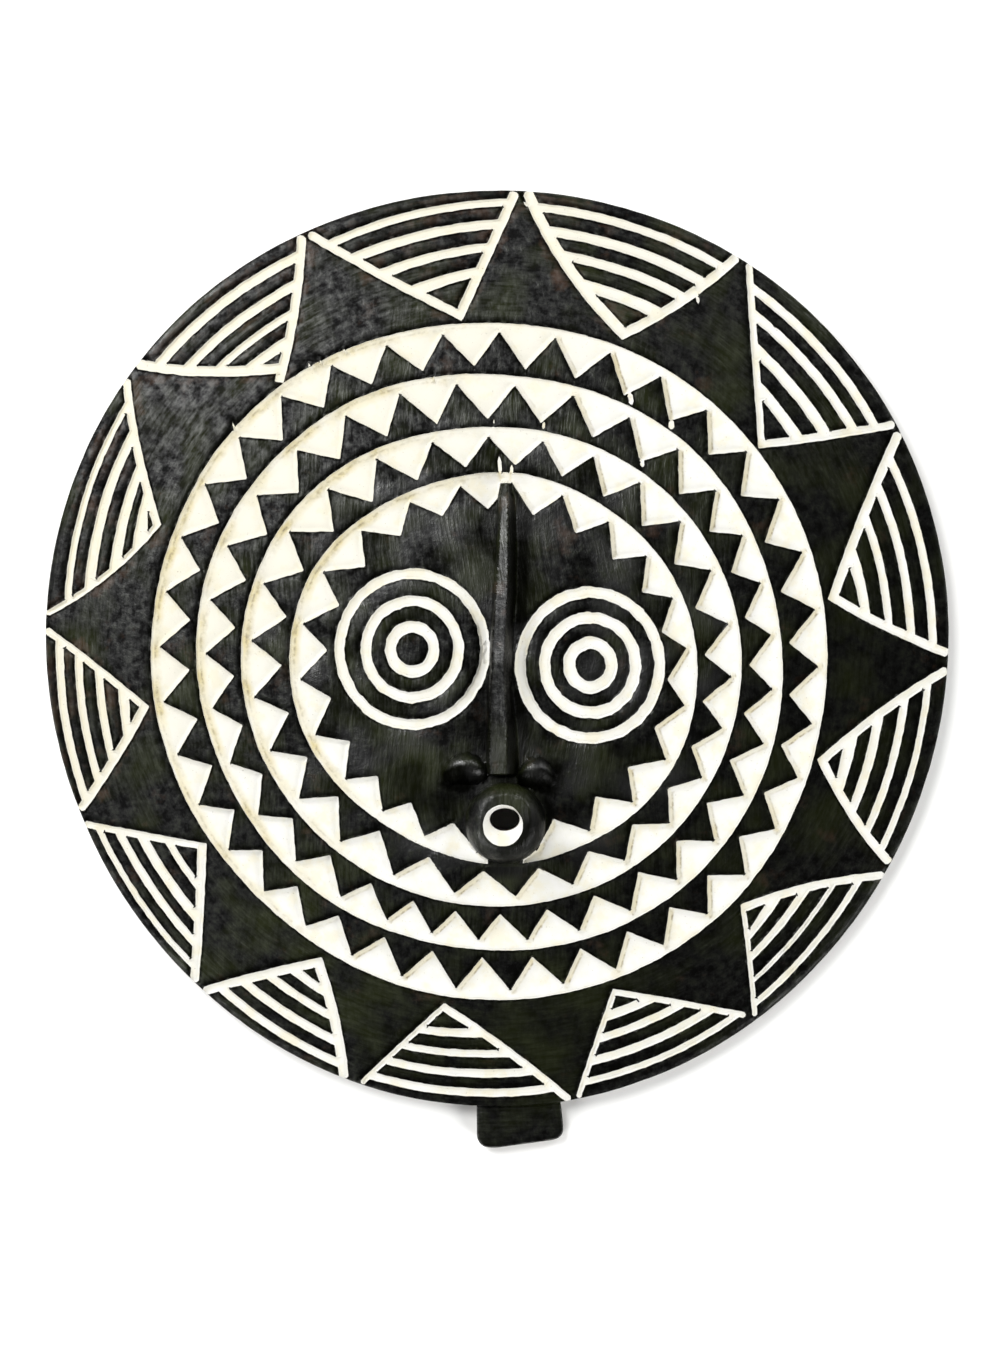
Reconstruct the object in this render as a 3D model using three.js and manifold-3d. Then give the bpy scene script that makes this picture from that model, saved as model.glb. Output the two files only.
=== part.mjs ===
// A sun mask carved from one round plank of light wood, lying on its back.
// The front is a shallow dome. Four rings of teeth, thirteen rays with hatched notches between them and two
// ringed eyes are sunk into it, and a ridge nose, two nostrils and a tube mouth stand up from it.
// The back is flat round a hollow for the face, and a short stub of the plank is left below the chin.
// Millimetres, +Z up out of the face, +Y towards the top of the mask.
import * as THREE from 'three';
import { mergeVertices } from 'three/addons/utils/BufferGeometryUtils.js';
import Module from 'manifold-3d';

// The plank
const DISC_RADIUS = 252.7;
const DISC_Y = 11.45;
const RIM_THICKNESS = 16;
const DOME_RISE = 24;
const RIM_STEPS = 104;
const FRONT_ROUNDING = 3;
const BACK_ROUNDING = 2;

// Depths of the carving below the dome
const TOOTH_DEPTH = 2.8;
const HATCH_DEPTH = 1.5;
const EYE_DEPTH = 1.7;

// Each ring of teeth, seen from its own centre. Its outer edge is a circle that swells two, three, four, five
// and six times round. Tooth tips lie just inside that edge, at even steps shifted by drifts that swing once,
// twice, three times and so on round the ring. Each valley lies just outside the next ring's edge, near the
// middle between its two tips: lean turns it from there, by a fixed amount and by a part that swings twice
// round. Swells, drifts and leans are given with the angle at which they are greatest. Angles are in degrees.
const RINGS = [
  {
    x: -3.7, y: 5.6, radius: 187.8,
    swells: [[1.9, 263], [1.24, 120], [0.56, 152], [0.37, 239], [0.39, 70]],
    teeth: 37, first: 10.56, drifts: [[1.95, 172], [0.28, 126], [0.37, 111]],
    lean: -0.43, leanSwing: [0.47, 252], tipGap: 5.4, steps: 72,
  },
  {
    x: -3.6, y: 4.4, radius: 161.6,
    swells: [[2.25, 300], [0.71, 133], [0.87, 188], [0.3, 197], [0.47, 311]],
    teeth: 32, first: 7.65, drifts: [[3.45, 206], [0.08, 17], [0.93, 348], [0.3, 236], [0.51, 81]],
    lean: -0.56, leanSwing: [0.72, 262], tipGap: 5.8, steps: 64,
  },
  {
    x: -3.2, y: 2.3, radius: 135.8,
    swells: [[2.99, 338], [0.94, 99], [0.45, 181], [0.18, 326], [0.2, 42]],
    teeth: 26, first: 9.72, drifts: [[2.65, 316], [1.36, 252], [0.62, 138], [0.09, 273], [0.36, 234]],
    lean: -0.66, leanSwing: [0.74, 253], tipGap: 5.8, steps: 60,
  },
  {
    x: -1.4, y: 0.8, radius: 110,
    swells: [[3.19, 328], [0.89, 152], [0.52, 334], [0.17, 358], [0.53, 160]],
    teeth: 22, first: 3.78, drifts: [[0.88, 330], [0.82, 333], [0.22, 206], [0.5, 81], [0.58, 15]],
    lean: -0.94, leanSwing: [0.85, 241], tipGap: 5.8, steps: 52,
  },
];
const BASE_LINE = 3.6;

// The innermost valleys lie on this edge round the face
const FACE = { x: -0.5, y: 0.1, radius: 89.7, swells: [[3.1, 336], [0.65, 40], [1.13, 6]] };

// The notches between the rays, seen from the middle of the sun: the direction and distance of the point, and
// the directions of the two side lines where they reach the rim, the first one clockwise. Each side line bows
// out a little and has its own width and its own gap to the rim. Four grooves run across the notch, given by
// their distance in from the rim and their width, and all lean by the same amount from side to side. A stem
// carries the first side line on past the point.
const SUN_X = -2.9;
const SUN_Y = 2.6;
const NOTCHES = [
  {
    at: 11, radius: 188.7, ends: [0.8, 30.2], bows: [1.7, 1.2],
    widths: [5.4, 5.7], gaps: [1.2, 2.7], stem: 0, lean: 3,
    grooves: [[10.8, 5], [23.1, 5.2], [35.4, 4.8], [48.2, 6]],
  },
  {
    at: 39, radius: 189.5, ends: [30.3, 57.8], bows: [1, 0.1],
    widths: [4.9, 4.3], gaps: [1.6, 1.2], stem: 0, lean: -1,
    grooves: [[11, 5.5], [22.6, 5.8], [37.1, 6.8], [51.6, 6.8]],
  },
  {
    at: 68.2, radius: 192.9, ends: [58.4, 86.4], bows: [3.1, 5],
    widths: [5.8, 6.5], gaps: [1.2, 1.8], stem: 0, lean: -1,
    grooves: [[9.4, 5.2], [22.1, 6.2], [34.6, 5.8], [48.9, 7.2]],
  },
  {
    at: 95, radius: 190.2, ends: [86.6, 113.5], bows: [0.3, 1.2],
    widths: [5.7, 5.3], gaps: [1.9, 3.7], stem: 0, lean: 5,
    grooves: [[9.6, 4.8], [21.9, 5.8], [35, 5.5], [48.9, 6.2]],
  },
  {
    at: 125.2, radius: 197.2, ends: [113.4, 140.4], bows: [2, 3.3],
    widths: [5.6, 6.1], gaps: [2.8, 1.2], stem: 6, lean: -1,
    grooves: [[10.5, 6], [24.1, 5.8], [37.1, 4.8], [49.1, 6.2]],
  },
  {
    at: 157, radius: 198.6, ends: [141.6, 173.9], bows: [-2.1, 4.4],
    widths: [5, 3.8], gaps: [1.8, 1.2], stem: 0, lean: 3,
    grooves: [[10.4, 4.2], [21.8, 6], [34.2, 6], [44.4, 6.2]],
  },
  {
    at: 187, radius: 190.8, ends: [175.1, 200], bows: [1, 1.3],
    widths: [4.3, 5.3], gaps: [1.2, 2.2], stem: 0, lean: -2,
    grooves: [[7, 5], [17.4, 4.8], [28.4, 4.8], [40.6, 5.8]],
  },
  {
    at: 212, radius: 186.1, ends: [200.9, 227.4], bows: [-0.3, 0.6],
    widths: [4.3, 5.4], gaps: [1.2, 1.9], stem: 0, lean: 0,
    grooves: [[6.6, 3.8], [16.2, 5], [26.4, 5.8], [38, 4.5]],
  },
  {
    at: 239.8, radius: 187.1, ends: [228, 251], bows: [0.7, 2.1],
    widths: [5.4, 6], gaps: [1.2, 1.2], stem: 0, lean: -1,
    grooves: [[7.6, 5.2], [18.5, 5.5], [30, 5], [40.5, 5.5]],
  },
  {
    at: 262, radius: 188.7, ends: [252.3, 280.6], bows: [0.4, 1.5],
    widths: [3.4, 4.8], gaps: [1.2, 1.7], stem: 0, lean: 2,
    grooves: [[7.8, 5], [18.5, 5], [29.2, 4.5], [40.2, 5]],
  },
  {
    at: 290.4, radius: 191.3, ends: [280.9, 306.2], bows: [0.3, 0.4],
    widths: [3.5, 3.9], gaps: [1.5, 7], stem: 0, lean: 0,
    grooves: [[8.9, 4.2], [19.4, 5.2], [30.6, 4.8], [41.2, 5.5]],
  },
  {
    at: 315.9, radius: 191, ends: [306.4, 332.2], bows: [-0.5, 3.2],
    widths: [3.3, 4.9], gaps: [3, 1.7], stem: 0, lean: 3,
    grooves: [[9.5, 4], [20.2, 3], [31, 4.5], [41, 5]],
  },
  {
    at: 343.7, radius: 187.1, ends: [332.9, 359.9], bows: [2.7, 2.2],
    widths: [5.3, 5.3], gaps: [2, 2], stem: 0, lean: 2,
    grooves: [[9.6, 4.2], [21.4, 4.8], [34, 5.5], [46, 6.5]],
  },
];
const BOW_STEPS = 4;
const HATCH_STEP = 6;

// The eyes: three sunk circles each, given as pairs of outer and inner radii
const EYES = [
  { x: -46.8, y: 10.9, tall: 1.04, bands: [[43.0, 37.0], [28.7, 22.4], [15.2, 8.5]] },
  { x: 51.2, y: 2.0, tall: 1.045, bands: [[41.7, 35.2], [28.4, 21.7], [15.2, 8.2]] },
];
const EYE_STEPS = [44, 36, 24];

// The nose: a ridge from the brow to a rounded tip, with a nostril on each side of its foot. Each station
// gives the left shoulder, the crest and the right foot of the ridge at one height up the face. The top is a
// planed facet that leans down from the crest to the left shoulder, above a steep left wall.
const NOSE_STATIONS = [
  { y: 102.4, left: 3.2, crest: 5.2, right: 7.5, rise: 3.5 },
  { y: 93.5, left: 1.5, crest: 5.1, right: 10.0, rise: 7.5 },
  { y: 68.8, left: 0.7, crest: 5.1, right: 11.0, rise: 9 },
  { y: 43.8, left: -1.0, crest: 4.9, right: 10.8, rise: 9.5 },
  { y: 21.6, left: -2.4, crest: 3.7, right: 9.3, rise: 10 },
  { y: 0, left: -3.0, crest: 2.8, right: 8.4, rise: 10.5 },
  { y: -12, left: -4.0, crest: 3.5, right: 8.4, rise: 11 },
  { y: -34, left: -4.4, crest: 4.3, right: 11.0, rise: 12.5 },
  { y: -52, left: -4.8, crest: 4.3, right: 12.0, rise: 13.5 },
  { y: -57.5, left: -4.0, crest: 4.3, right: 11.5, rise: 10.5 },
];
const NOSE_WALL = 1.5;
const SHOULDER_SHARE = 0.85;
const CREST_WIDTH = 0.6;
const NOSTRILS = [{ x: -17.5, y: -53, half: 12.5 }, { x: 21.5, y: -55, half: 10.5 }];
const NOSTRIL_ABOVE = 6.5;
const NOSTRIL_BELOW = 10.5;
const NOSTRIL_ARCH = 4.5;
const NOSTRIL_RISE = 9.5;

// The mouth: a rounded tube, drilled through into the hollow. The oval hole sits high in the lip.
const MOUTH_X = 4.5;
const MOUTH_Y = -84.8;
const MOUTH_RADIUS = 22.5;
const MOUTH_RISE = 17;
const MOUTH_TOP_RADIUS = 12.5;
const LIP = { x: 3.1, y: -85.9, rx: 11.1, ry: 11.4 };
const LIP_SLOPE = 5;
const HOLE = { x: 4.1, y: -82.7, rx: 8.3, ry: 6.3 };
const MOUTH_STEPS = 32;
const CHIN_HALF_WIDTH = 9.7;

// The stub below the chin, seen from the front
const STUB_OUTLINE = [
  [-11.6, -228], [-11.3, -262], [-8, -265.6], [-1.8, -266.3],
  [33, -261.5], [36.6, -258.8], [36.9, -255.5], [33.9, -228],
];
const STUB_BACK = 1.5;
const STUB_FRONT = 11.5;
const STUB_ROUNDING = 2;

// The hollow in the back that takes the face, as radius and height from the back
const HOLLOW_PROFILE = [[124, 0], [116, 7], [103, 14], [82, 19.5], [50, 23], [0, 24.5]];
const HOLLOW_STEPS = 48;

const wasm = await Module();
wasm.setup();

const radians = (degrees) => degrees * Math.PI / 180;

function toSolid(geometry) {
  const bare = geometry.clone();
  bare.deleteAttribute('normal');
  bare.deleteAttribute('uv');
  const merged = mergeVertices(bare, 1e-4);
  const triVerts = new Uint32Array(merged.index.array);
  const vertProperties = new Float32Array(merged.attributes.position.array);
  return new wasm.Manifold(new wasm.Mesh({ numProp: 3, vertProperties, triVerts }));
}

function toGeometry(solid) {
  const mesh = solid.getMesh();
  const geometry = new THREE.BufferGeometry();
  geometry.setAttribute('position', new THREE.BufferAttribute(new Float32Array(mesh.vertProperties), 3));
  geometry.setIndex(new THREE.BufferAttribute(new Uint32Array(mesh.triVerts), 1));
  return geometry;
}

// An upright prism over an outline, with holes through it
function prism(outline, holes, bottom, top) {
  const shape = new THREE.Shape(outline);
  shape.holes = holes.map((hole) => new THREE.Path(hole));
  const geometry = new THREE.ExtrudeGeometry(shape, { depth: top - bottom, bevelEnabled: false });
  geometry.translate(0, 0, bottom);
  return toSolid(geometry);
}

// A closed solid through loops of points that all have the same number of points, bottom loop first
function loft(loops) {
  const count = loops[0].length;
  const corners = loops.flat();
  const faces = [];
  for (let level = 0; level + 1 < loops.length; level += 1) {
    for (let i = 0; i < count; i += 1) {
      const a = level * count + i;
      const b = level * count + (i + 1) % count;
      faces.push(a, b, b + count, a, b + count, a + count);
    }
  }
  const top = (loops.length - 1) * count;
  const flat = (loop) => loop.map((corner) => new THREE.Vector2(corner.x, corner.y));
  for (const [a, b, c] of THREE.ShapeUtils.triangulateShape(flat(loops[0]), [])) faces.push(c, b, a);
  for (const [a, b, c] of THREE.ShapeUtils.triangulateShape(flat(loops.at(-1)), [])) {
    faces.push(top + a, top + b, top + c);
  }
  const geometry = new THREE.BufferGeometry().setFromPoints(corners);
  geometry.setIndex(faces);
  return toSolid(geometry);
}

// The plank was cut round by hand, so its radius swells a little with the direction
function rimRadius(angle) {
  const flattened = -1.94 * Math.cos(2 * angle);
  const shoulders = 1.78 * (Math.sin(angle) + Math.sin(3 * angle));
  return DISC_RADIUS + flattened + shoulders;
}

function rimPoint(angle, inset) {
  const radius = rimRadius(angle) - inset;
  return new THREE.Vector2(radius * Math.cos(angle), DISC_Y + radius * Math.sin(angle));
}

function rimInset(point) {
  const angle = Math.atan2(point.y - DISC_Y, point.x);
  return rimRadius(angle) - Math.hypot(point.x, point.y - DISC_Y);
}

function domeRise(x, y) {
  const share = Math.hypot(x, y - DISC_Y) / DISC_RADIUS;
  return Math.max(0, DOME_RISE * (1 - share * share));
}

function board() {
  const loop = (inset, z) => Array.from({ length: RIM_STEPS }, (_, i) => {
    const point = rimPoint(2 * Math.PI * i / RIM_STEPS, inset);
    return new THREE.Vector3(point.x, point.y, z);
  });
  return loft([
    loop(BACK_ROUNDING, 0),
    loop(0, BACK_ROUNDING),
    loop(0, RIM_THICKNESS - FRONT_ROUNDING),
    loop(FRONT_ROUNDING * 0.3, RIM_THICKNESS - FRONT_ROUNDING * 0.3),
    loop(FRONT_ROUNDING, RIM_THICKNESS),
  ]);
}

function ellipse(x, y, rx, ry, steps) {
  return Array.from({ length: steps }, (_, i) => {
    const angle = 2 * Math.PI * i / steps;
    return new THREE.Vector2(x + rx * Math.cos(angle), y + ry * Math.sin(angle));
  });
}

function edgeRadius(ring, angle) {
  const swells = ring.swells.map(([most, at], k) => most * Math.cos((k + 2) * angle - radians(at)));
  return swells.reduce((sum, swell) => sum + swell, ring.radius);
}

function ringPoint(ring, angle, radius) {
  return new THREE.Vector2(ring.x + radius * Math.cos(angle), ring.y + radius * Math.sin(angle));
}

function ringEdge(ring) {
  return Array.from({ length: ring.steps }, (_, i) => {
    const angle = 2 * Math.PI * i / ring.steps;
    return ringPoint(ring, angle, edgeRadius(ring, angle));
  });
}

// The largest share from 0 to 1 for which a test still holds
function lastShare(holds) {
  let low = 0;
  let high = 1;
  for (let i = 0; i < 40; i += 1) {
    const middle = (low + high) / 2;
    if (holds(middle)) low = middle;
    else high = middle;
  }
  return low;
}

// The direction of tooth number i, which may run past the last tooth
function toothAngle(ring, i) {
  const even = ring.first + 360 * i / ring.teeth;
  const drifts = ring.drifts.map(([most, at], k) => most * Math.cos(radians((k + 1) * even - at)));
  return radians(drifts.reduce((sum, drift) => sum + drift, even));
}

// The valley of a ring in one direction: on the edge round the face, or a base line's width outside the edge
// of the next ring
function valleyPoint(ring, next, angle) {
  const insideNext = (share) => {
    const point = ringPoint(ring, angle, share * ring.radius);
    const out = new THREE.Vector2(point.x - next.x, point.y - next.y);
    return out.length() < edgeRadius(next, out.angle());
  };
  const gap = next === FACE ? 0 : BASE_LINE;
  return ringPoint(ring, angle, lastShare(insideNext) * ring.radius + gap);
}

function teeth(ring, next) {
  const points = [];
  for (let i = 0; i < ring.teeth; i += 1) {
    const tip = toothAngle(ring, i);
    const between = (tip + toothAngle(ring, i + 1)) / 2;
    const [most, at] = ring.leanSwing;
    const lean = ring.lean + most * Math.cos(2 * between - radians(at));
    points.push(ringPoint(ring, tip, edgeRadius(ring, tip) - ring.tipGap));
    points.push(valleyPoint(ring, next, between + radians(lean)));
  }
  return points;
}

// One notch between two rays: a sunk outline with black bars left standing in it
function notch({ at, radius, ends, bows, widths, gaps, stem, lean, grooves }) {
  const middle = new THREE.Vector2(SUN_X, SUN_Y);
  const fromSun = (degrees, reach) => new THREE.Vector2(reach, 0)
    .rotateAround(new THREE.Vector2(), radians(degrees)).add(middle);
  const point = fromSun(at, radius);

  // A point of a side line: share runs from 0 at the notch point to 1 at the rim, and across is how far it
  // lies inside the line's outer edge
  const sides = ends.map((degrees, side) => {
    const far = 2 * DISC_RADIUS;
    const rimShare = lastShare((share) => rimInset(fromSun(degrees, share * far)) > gaps[side]);
    const along = fromSun(degrees, rimShare * far).sub(point);
    const turn = side === 0 ? -1 : 1;
    const out = new THREE.Vector2(-along.y * turn, along.x * turn).normalize();
    return (share, across) => point.clone().addScaledVector(along, share)
      .addScaledVector(out, bows[side] * 4 * share * (1 - share) - across);
  });
  const [first, last] = sides;
  const crossing = meet(
    [first(0, widths[0]), first(0.15, widths[0])], [last(0, widths[1]), last(0.15, widths[1])]);

  // A line across the notch at one distance in from the rim, from the first side line to the last
  const arc = (inset) => {
    const [start, end] = sides.map((sidePoint, side) => {
      const here = inset + lean * (side - 0.5);
      const rimwards = lastShare((share) => rimInset(sidePoint(1 - share, widths[side])) < here);
      const where = sidePoint(1 - rimwards, widths[side]);
      return Math.atan2(where.y - DISC_Y, where.x);
    });
    const span = (end - start + 2 * Math.PI) % (2 * Math.PI);
    const steps = Math.max(1, Math.round(span / radians(HATCH_STEP)));
    return Array.from({ length: steps + 1 }, (_, i) => (
      rimPoint(start + span * i / steps, inset + lean * (i / steps - 0.5))));
  };

  // The rounded end of a side line, from its outer edge to its inner edge
  const cap = (side) => [
    sides[side](0.985, 0), sides[side](1, widths[side] * 0.3),
    sides[side](1, widths[side] * 0.7), sides[side](0.985, widths[side]),
  ];
  const outerEdge = (side) => Array.from({ length: BOW_STEPS - 1 }, (_, i) => (
    sides[side]((i + 1) / BOW_STEPS, 0)));
  const foot = [point];
  if (stem > 0) {
    const back = first(0, 0).sub(first(0.1, 0)).setLength(stem);
    foot[0] = first(0, 0).add(back);
    foot.push(first(0, widths[0]).add(back));
    foot.push(meet([first(0, widths[0]), first(0.1, widths[0])], [last(0, 0), last(0.1, 0)]));
  }
  const halves = grooves.map(([inset, width]) => [inset - width / 2, inset + width / 2]);
  const outline = [
    ...foot, ...outerEdge(1), ...cap(1), ...arc(halves[0][0]).reverse(),
    ...cap(0).reverse(), ...outerEdge(0).reverse(),
  ];
  const bars = halves.map(([, farSide], i) => {
    const inner = i + 1 < halves.length ? arc(halves[i + 1][0]) : [crossing];
    return [...arc(farSide), ...inner.reverse()];
  });
  return { outline, bars };
}

function meet([a, b], [c, d]) {
  const r = b.clone().sub(a);
  const s = d.clone().sub(c);
  const t = c.clone().sub(a).cross(s) / r.cross(s);
  return a.clone().addScaledVector(r, t);
}

function mouthFootprint(bottom, top) {
  const round = prism(ellipse(MOUTH_X, MOUTH_Y, MOUTH_RADIUS, MOUTH_RADIUS, MOUTH_STEPS), [], bottom, top);
  const innerRing = RINGS.at(-1);
  const chinY = innerRing.y - edgeRadius(innerRing, -Math.PI / 2) - 1;
  const left = MOUTH_X - CHIN_HALF_WIDTH;
  const right = MOUTH_X + CHIN_HALF_WIDTH;
  const corners = [[left, MOUTH_Y], [left, chinY], [right, chinY], [right, MOUTH_Y]];
  const chin = prism(corners.map(([x, y]) => new THREE.Vector2(x, y)), [], bottom, top);
  return round.add(chin);
}

// Everything that is sunk into the front, as upright cutters in the flat board
function carving() {
  const above = RIM_THICKNESS + 1;
  const ringCutters = RINGS.map((ring, i) => prism(
    ringEdge(ring), [teeth(ring, RINGS[i + 1] ?? FACE)], RIM_THICKNESS - TOOTH_DEPTH, above));
  const innermost = ringCutters.pop().subtract(mouthFootprint(0, 2 * above));
  const notchCutters = NOTCHES.map((sizes) => {
    const { outline, bars } = notch(sizes);
    return prism(outline, bars, RIM_THICKNESS - HATCH_DEPTH, above);
  });
  const eyeCutters = EYES.flatMap((eye) => eye.bands.map(([outer, inner], band) => prism(
    ellipse(eye.x, eye.y, outer, outer * eye.tall, EYE_STEPS[band]),
    [ellipse(eye.x, eye.y, inner, inner * eye.tall, EYE_STEPS[band])],
    RIM_THICKNESS - EYE_DEPTH, above)));
  return [...ringCutters, innermost, ...notchCutters, ...eyeCutters];
}

// Raises the front of the carved board onto the dome and leaves the back flat
function domed(flatSolid) {
  const geometry = toGeometry(flatSolid);
  const position = geometry.attributes.position;
  for (let i = 0; i < position.count; i += 1) {
    const [x, y, z] = [position.getX(i), position.getY(i), position.getZ(i)];
    if (z > RIM_THICKNESS / 2) position.setZ(i, z + domeRise(x, y));
  }
  return toSolid(geometry);
}

const frontHeight = (x, y) => RIM_THICKNESS + domeRise(x, y);

function nose() {
  const sunk = 6;
  const loops = NOSE_STATIONS.map(({ y, left, crest, right, rise }) => {
    const z = frontHeight(crest, y);
    const section = [
      [left - NOSE_WALL, -sunk], [right, -sunk], [right, 0], [crest + CREST_WIDTH, rise], [crest, rise],
      [left, rise * SHOULDER_SHARE], [left - NOSE_WALL, 0],
    ];
    // Turned so that the ridge runs up Z, which lets its two end caps be closed as flat outlines
    return section.map(([x, up]) => new THREE.Vector3(x, z + up, -y));
  });
  const geometry = toGeometry(loft(loops));
  geometry.rotateX(Math.PI / 2);
  return toSolid(geometry);
}

// A wing with an arched crest, short and steep above it and long below
function nostril({ x, y, half }) {
  const ball = new THREE.SphereGeometry(1, 20, 12);
  const position = ball.getAttribute('position');
  for (let i = 0; i < position.count; i += 1) {
    const across = position.getX(i);
    const up = position.getY(i) * (position.getY(i) > 0 ? NOSTRIL_ABOVE : NOSTRIL_BELOW);
    position.setX(i, across * half);
    position.setY(i, up - NOSTRIL_ARCH * across * across);
    position.setZ(i, position.getZ(i) * NOSTRIL_RISE);
  }
  ball.translate(x, y, frontHeight(x, y) - 1);
  return toSolid(ball);
}

// A solid of revolution standing on Z, from points of radius and height that start and end on the axis
function turned(profile, steps, x, y, z) {
  const points = profile.map(([radius, height]) => new THREE.Vector2(radius, height));
  const geometry = new THREE.LatheGeometry(points, steps);
  geometry.rotateX(Math.PI / 2);
  geometry.translate(x, y, z);
  return toSolid(geometry);
}

function mouth() {
  const profile = [[0, -10], [MOUTH_RADIUS, -10], [MOUTH_RADIUS, 0]];
  const bulge = MOUTH_RADIUS - MOUTH_TOP_RADIUS;
  for (const degrees of [25, 45, 65, 90]) {
    profile.push([
      MOUTH_TOP_RADIUS + bulge * Math.cos(radians(degrees)), MOUTH_RISE * Math.sin(radians(degrees))]);
  }
  profile.push([0, MOUTH_RISE]);
  return turned(profile, MOUTH_STEPS, MOUTH_X, MOUTH_Y, frontHeight(MOUTH_X, MOUTH_Y));
}

function mouthHole() {
  const top = frontHeight(MOUTH_X, MOUTH_Y) + MOUTH_RISE;
  const loop = ({ x, y, rx, ry }, z) => ellipse(x, y, rx, ry, MOUTH_STEPS)
    .map((point) => new THREE.Vector3(point.x, point.y, z));
  return loft([loop(HOLE, 4), loop(HOLE, top - LIP_SLOPE), loop(LIP, top), loop(LIP, top + 2)]);
}

function hollow() {
  return turned([[0, -5], [HOLLOW_PROFILE[0][0], -5], ...HOLLOW_PROFILE], HOLLOW_STEPS, 0, 0, 0);
}

function stub() {
  const outline = STUB_OUTLINE.map(([x, y]) => new THREE.Vector2(x, y));
  const centre = new THREE.Vector2(12.5, -228);
  const loop = (inset, z) => outline.map((point) => {
    const inwards = centre.clone().sub(point).normalize().multiplyScalar(point.y < -230 ? inset : 0);
    return new THREE.Vector3(point.x + inwards.x, point.y + inwards.y, z);
  });
  return loft([
    loop(STUB_ROUNDING, STUB_BACK), loop(0, STUB_BACK + STUB_ROUNDING),
    loop(0, STUB_FRONT - STUB_ROUNDING), loop(STUB_ROUNDING, STUB_FRONT),
  ]);
}

function maskSolid() {
  let solid = board();
  for (const cutter of carving()) solid = solid.subtract(cutter);
  solid = domed(solid);
  for (const piece of [stub(), nose(), ...NOSTRILS.map(nostril), mouth()]) solid = solid.add(piece);
  return solid.subtract(hollow()).subtract(mouthHole());
}

const geometry = toGeometry(maskSolid());
const darkWood = new THREE.MeshStandardMaterial({ color: '#2b2a26', roughness: 0.6, metalness: 0 });
const sunMask = new THREE.Mesh(geometry, darkWood);
sunMask.name = 'sun_mask';

const group = new THREE.Group();
group.add(sunMask);
export default group;
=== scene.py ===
import functools
import itertools
import math

import bpy
import numpy as np
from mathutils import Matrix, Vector, kdtree, noise
from mathutils.geometry import delaunay_2d_cdt


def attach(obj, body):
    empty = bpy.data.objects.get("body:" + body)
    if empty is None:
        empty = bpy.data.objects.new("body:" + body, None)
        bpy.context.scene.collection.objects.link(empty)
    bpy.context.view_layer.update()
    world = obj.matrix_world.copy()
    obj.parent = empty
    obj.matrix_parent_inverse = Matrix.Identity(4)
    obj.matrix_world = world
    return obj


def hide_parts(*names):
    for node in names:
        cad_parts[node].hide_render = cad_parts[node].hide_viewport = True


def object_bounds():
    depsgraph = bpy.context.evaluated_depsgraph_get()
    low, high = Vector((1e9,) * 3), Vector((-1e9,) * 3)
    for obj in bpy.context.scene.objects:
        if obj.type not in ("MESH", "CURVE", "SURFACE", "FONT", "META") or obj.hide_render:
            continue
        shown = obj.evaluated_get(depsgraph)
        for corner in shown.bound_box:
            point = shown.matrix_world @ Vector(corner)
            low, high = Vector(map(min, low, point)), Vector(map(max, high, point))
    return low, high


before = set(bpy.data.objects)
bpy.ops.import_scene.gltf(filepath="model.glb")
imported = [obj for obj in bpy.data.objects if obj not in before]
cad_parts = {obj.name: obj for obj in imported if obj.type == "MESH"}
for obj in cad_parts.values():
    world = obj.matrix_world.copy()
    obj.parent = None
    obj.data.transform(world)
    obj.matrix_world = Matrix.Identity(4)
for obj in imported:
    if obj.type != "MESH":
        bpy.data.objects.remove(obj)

CAD_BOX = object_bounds()
MM = 0.001

# The plank
DISC_RADIUS = 252.7
DISC_Y = 11.45
RIM_THICKNESS = 16.0
DOME_RISE = 24.0
FRONT_ROUNDING = 3.0
BACK_ROUNDING = 2.0

# The rings of teeth, and the edge round the face. Each edge is a circle with slow swells. A tooth's direction
# is an even step round the ring plus slow drifts, and the valleys lean a little from the middle between teeth.
RINGS = [
    dict(x=-3.7, y=5.6, radius=187.8, swells=((1.9, 263), (1.24, 120), (0.56, 152), (0.37, 239), (0.39, 70)),
         teeth=37, first=10.56, drifts=((1.95, 172), (0.28, 126), (0.37, 111)),
         lean=-0.43, lean_swing=(0.47, 252), tip_gap=5.4),
    dict(x=-3.6, y=4.4, radius=161.6, swells=((2.25, 300), (0.71, 133), (0.87, 188), (0.3, 197), (0.47, 311)),
         teeth=32, first=7.65, drifts=((3.45, 206), (0.08, 17), (0.93, 348), (0.3, 236), (0.51, 81)),
         lean=-0.56, lean_swing=(0.72, 262), tip_gap=5.8),
    dict(x=-3.2, y=2.3, radius=135.8, swells=((2.99, 338), (0.94, 99), (0.45, 181), (0.18, 326), (0.2, 42)),
         teeth=26, first=9.72, drifts=((2.65, 316), (1.36, 252), (0.62, 138), (0.09, 273), (0.36, 234)),
         lean=-0.66, lean_swing=(0.74, 253), tip_gap=5.8),
    dict(x=-1.4, y=0.8, radius=110, swells=((3.19, 328), (0.89, 152), (0.52, 334), (0.17, 358), (0.53, 160)),
         teeth=22, first=3.78, drifts=((0.88, 330), (0.82, 333), (0.22, 206), (0.5, 81), (0.58, 15)),
         lean=-0.94, lean_swing=(0.85, 241), tip_gap=5.8),
]
BASE_LINE = 3.6
FACE = dict(x=-0.5, y=0.1, radius=89.7, swells=((3.1, 336), (0.65, 40), (1.13, 6)))

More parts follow.
